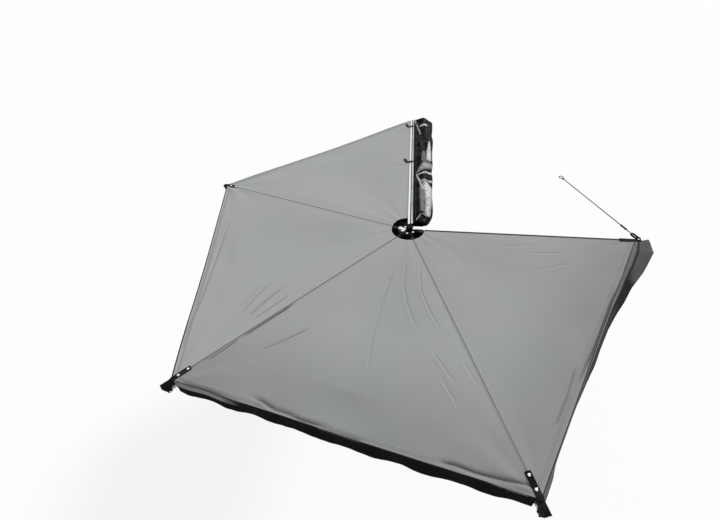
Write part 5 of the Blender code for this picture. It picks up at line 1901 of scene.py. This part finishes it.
@dataclass
class Studio:
    """The plain floor, the soft light and the camera."""

    floor_z: float = -2.10
    floor_half: float = 60.0
    sky: float = 0.52
    sun: float = 2.36
    sun_from: Point = (0.45, 0.62, 0.64)
    sun_angle: float = 12.0
    camera_at: Point = (-0.099, -2.611, 1.992)
    yaw_deg: float = -8.87
    pitch_deg: float = 42.5
    roll_deg: float = -4.08
    lens: float = 19.515
    sensor: float = 36.0
    clip: Pair = (0.05, 300.0)

    def build(self) -> None:
        """Builds the studio."""
        bpy.context.scene.view_settings.view_transform = "Standard"
        self._camera()
        self._floor()
        self._lights()
        LOG.info("studio: floor at %.2f m", self.floor_z)

    def _camera(self) -> None:
        """Places the camera at the photograph's angle."""
        scene = bpy.context.scene
        yaw, pitch, roll = (math.radians(a) for a in (self.yaw_deg, self.pitch_deg, self.roll_deg))
        ahead = Vector((math.sin(yaw) * math.cos(pitch), math.cos(yaw) * math.cos(pitch), -math.sin(pitch)))
        right = Vector((math.cos(yaw), -math.sin(yaw), 0.0))
        up = right.cross(ahead)
        side = right * math.cos(roll) + up * math.sin(roll)
        top = up * math.cos(roll) - right * math.sin(roll)
        data = bpy.data.cameras.new("view")
        data.sensor_width, data.lens = self.sensor, self.lens
        data.clip_start, data.clip_end = self.clip
        camera = bpy.data.objects.new("view", data)
        scene.collection.objects.link(camera)
        turn = Matrix((side, top, -ahead)).transposed()
        camera.matrix_world = Matrix.Translation(self.camera_at) @ turn.to_4x4()
        scene.camera = camera

    def _floor(self) -> None:
        """Lays the floor, where the legs would stand on it."""
        steps = np.linspace(-self.floor_half, self.floor_half, 5)
        x, y = np.meshgrid(steps, steps, indexing="ij")
        points = np.stack([x, y, np.full_like(x, self.floor_z)], axis=-1)
        new_object("floor", grid_mesh(points, points[..., :2]), "ground")

    def _lights(self) -> None:
        """Lights the scene softly from all round, and from one side a little more."""
        scene = bpy.context.scene
        world = bpy.data.worlds.new("soft_light")
        scene.world = world
        world.use_nodes = True
        sheet = NodeSheet(world.node_tree)
        light = world.node_tree.nodes["Background"]
        sheet.feed(light, {"Color": WHITE, "Strength": self.sky})
        shown = sheet.node("ShaderNodeBackground", {"Color": WHITE, "Strength": 1.0}).outputs[0]
        sheet.feed(world.node_tree.nodes["World Output"], {"Surface": sheet.seen_as(light.outputs[0], shown, 1.0)})
        data = bpy.data.lights.new("high_soft_light", "SUN")
        data.energy, data.angle = self.sun, math.radians(self.sun_angle)
        lamp = bpy.data.objects.new("high_soft_light", data)
        scene.collection.objects.link(lamp)
        lamp.rotation_euler = Vector(self.sun_from).to_track_quat("Z", "Y").to_euler()


# Raised ridges on the travel cover, each with a painted highlight along it.
HIGHLIGHT_RIDGES = (
    HighlightRidge((0.046, 2.030), (0.109, 1.639), 0.009, 0.010, 0.55),
    HighlightRidge((0.118, 1.835), (0.172, 1.845), 0.018, 0.024, 1.00),
    HighlightRidge((0.143, 1.200), (0.142, 1.050), 0.020, 0.030, 0.22),
    HighlightRidge((0.205, 1.480), (0.198, 1.280), 0.005, 0.026, 1.00),
    HighlightRidge((0.198, 1.280), (0.191, 1.080), 0.028, 0.028, 1.00),
    HighlightRidge((0.185, 0.985), (0.073, 0.815), 0.060, 0.010, 0.50),
    HighlightRidge((0.088, 0.760), (0.226, 0.848), 0.011, 0.020, 1.00),
    HighlightRidge((0.105, 0.600), (0.212, 0.696), 0.012, 0.016, 0.85),
    HighlightRidge((0.066, 0.786), (0.099, 0.601), 0.006, 0.010, 0.90),
    HighlightRidge((0.099, 0.601), (0.125, 0.500), 0.011, 0.014, 0.80),
    HighlightRidge((0.165, 0.570), (0.172, 0.430), 0.052, 0.044, 1.00),
    HighlightRidge((0.174, 0.430), (0.160, 0.150), 0.040, 0.028, 0.85),
    HighlightRidge((0.117, 0.520), (0.123, 0.200), 0.030, 0.026, 0.32),
)

# Creases in each panel, about the hub: places, depth, width and the strength of the painted shade along them.
CREASES: dict[Arm, tuple[Crease, ...]] = {
    Arm.FRONT: (
        Crease(((-0.005, 0.13), (-0.005, 2.06)), 0.0, 0.008, 0.70),
        Crease(((-0.24, 0.96), (-0.18, 0.96), (-0.10, 0.94)), 0.005),
        Crease(((-0.23, 1.78), (-0.09, 1.76)), 0.003),
        Crease(((-0.21, 0.70), (-0.13, 0.73)), 0.003),
    ),
    Arm.SIDE: (
        Crease(((-1.69, 0.08), (-1.64, -0.29), (-1.59, -0.65), (-1.56, -0.90), (-1.54, -1.14), (-1.50, -1.31)), 0.005,
               0.009, 0.30),
        Crease(((-1.06, -0.66), (-1.14, -0.82), (-1.21, -1.00)), 0.005),
        Crease(((-0.96, -0.72), (-1.05, -0.86), (-1.15, -1.03)), 0.005),
        Crease(((-0.99, -0.77), (-1.08, -0.90), (-1.14, -1.00)), 0.004, 0.006),
        Crease(((-0.90, -0.81), (-1.01, -0.94), (-1.11, -1.05)), 0.005, 0.006),
        Crease(((-1.14, -0.70), (-1.19, -0.84), (-1.22, -0.92)), 0.003),
        Crease(((-0.64, -0.08), (-0.70, -0.18), (-0.73, -0.27)), 0.002, 0.008),
    ),
    Arm.REAR: (
        Crease(((-1.44, -1.51), (-1.34, -1.53), (-1.23, -1.55), (-1.10, -1.59), (-0.98, -1.62)), 0.011, 0.011, 1.0),
        Crease(((-0.96, -1.57), (-0.88, -1.59), (-0.80, -1.63), (-0.71, -1.65), (-0.63, -1.68), (-0.47, -1.71)), 0.010,
               0.012, 0.85),
        Crease(((-1.31, -1.57), (-1.21, -1.59), (-1.09, -1.61)), 0.006, 0.006, 0.60),
        Crease(((-0.55, -1.71), (-0.42, -1.74), (-0.27, -1.77)), 0.006, 0.009, 0.85),
        Crease(((0.08, -1.83), (0.18, -1.84), (0.28, -1.87), (0.41, -1.89), (0.50, -1.90), (0.56, -1.91)), 0.009, 0.011,
               0.95),
        Crease(((0.29, -1.92), (0.41, -1.93), (0.52, -1.95)), 0.006, 0.006, 0.60),
        Crease(((-1.14, -1.19), (-1.02, -1.07), (-0.95, -1.00), (-0.84, -0.89)), 0.007, 0.008, 0.85),
        Crease(((-1.31, -1.37), (-1.23, -1.29), (-1.14, -1.19)), 0.004, 0.008, 0.70),
        Crease(((-1.00, -1.28), (-0.85, -1.19), (-0.69, -1.08)), 0.004, 0.007, 0.50),
        Crease(((-0.16, -0.47), (-0.23, -0.78), (-0.29, -1.14), (-0.30, -1.42)), 0.0035),
        Crease(((-0.16, -0.82), (-0.21, -0.97), (-0.23, -1.14)), 0.002),
        Crease(((-0.09, -0.47), (-0.10, -0.69), (-0.07, -0.86), (-0.01, -1.06)), 0.003, 0.008),
        Crease(((0.01, -0.48), (0.02, -0.74), (0.08, -0.92), (0.14, -1.06)), 0.0035),
        Crease(((0.09, -1.22), (0.15, -1.32), (0.21, -1.42)), 0.003),
        Crease(((0.13, -1.38), (0.17, -1.46), (0.21, -1.54)), 0.003),
        Crease(((0.26, -1.26), (0.30, -1.35), (0.34, -1.43)), 0.0026),
    ),
    Arm.END: (
        Crease(((1.86, 0.16), (1.67, -0.14), (1.60, -0.25), (1.44, -0.485), (1.26, -0.755), (1.12, -1.00),
                (1.00, -1.19), (0.85, -1.42)), 0.010, 0.010, 1.0),
        Crease(((1.86, 0.15), (1.72, -0.08), (1.60, -0.26), (1.48, -0.44)), 0.003, 0.015, 0.95),
        Crease(((1.53, -0.32), (1.32, -0.61), (1.11, -0.96)), 0.004, 0.010, 0.25),
        Crease(((0.93, -1.21), (0.80, -1.46), (0.69, -1.64)), 0.006, 0.009, 0.60),
        Crease(((0.86, -0.46), (1.12, -0.37)), 0.0036, 0.009),
        Crease(((0.84, -0.29), (1.09, -0.27)), 0.003, 0.009),
        Crease(((0.63, -0.24), (0.93, -0.20)), 0.0026, 0.009),
    ),
}

# The side and rear seams get dark and grey tapes that stand in for the shade in their grooves: painted shade.
TAPES = {Arm.FRONT: ("pale_tape", 0.0075), Arm.SIDE: ("seam_shade_tape", 0.0075), Arm.REAR: ("faint_seam_shade_tape", 0.0075),
         Arm.END: ("binding", 0.015)}
# Painted shade on the rear and end panels, darker toward their outer edges.
PANEL_SHADE = {Arm.FRONT: (0.0, 0.0), Arm.SIDE: (0.0, 0.0), Arm.REAR: (0.03, 0.26), Arm.END: (0.11, 0.21)}


def main() -> None:
    """Builds the awning's looks, one sub-assembly after another."""
    logging.basicConfig(level=logging.INFO, format="%(name)s: %(message)s")
    studio = Studio()
    studio.build()
    layout = FanLayout()
    repeats = RepeatedParts()
    GuyLine(layout).build()
    surfaces = {arm: PanelSurface(layout, arm, CREASES[arm], panel_shade=PANEL_SHADE[arm]) for arm in Arm}
    for arm in Arm:
        CanopyPanel(surfaces[arm], repeats).build()
        Skirt(surfaces[arm], repeats).build()
    for arm, (finish, width) in TAPES.items():
        SeamTape(layout, arm, repeats, finish, width).build()
    for arm in (Arm.FRONT, Arm.SIDE, Arm.REAR):
        CornerRivets(layout, arm, repeats).build()
    TravelCover(layout, repeats).build()
    TieStrap(surfaces[Arm.FRONT], "strap_front", 1.900).build()
    TieStrap(surfaces[Arm.FRONT], "strap_rear", 1.065).build()
    Metalwork(layout).build()


if __name__ == "__main__":
    main()
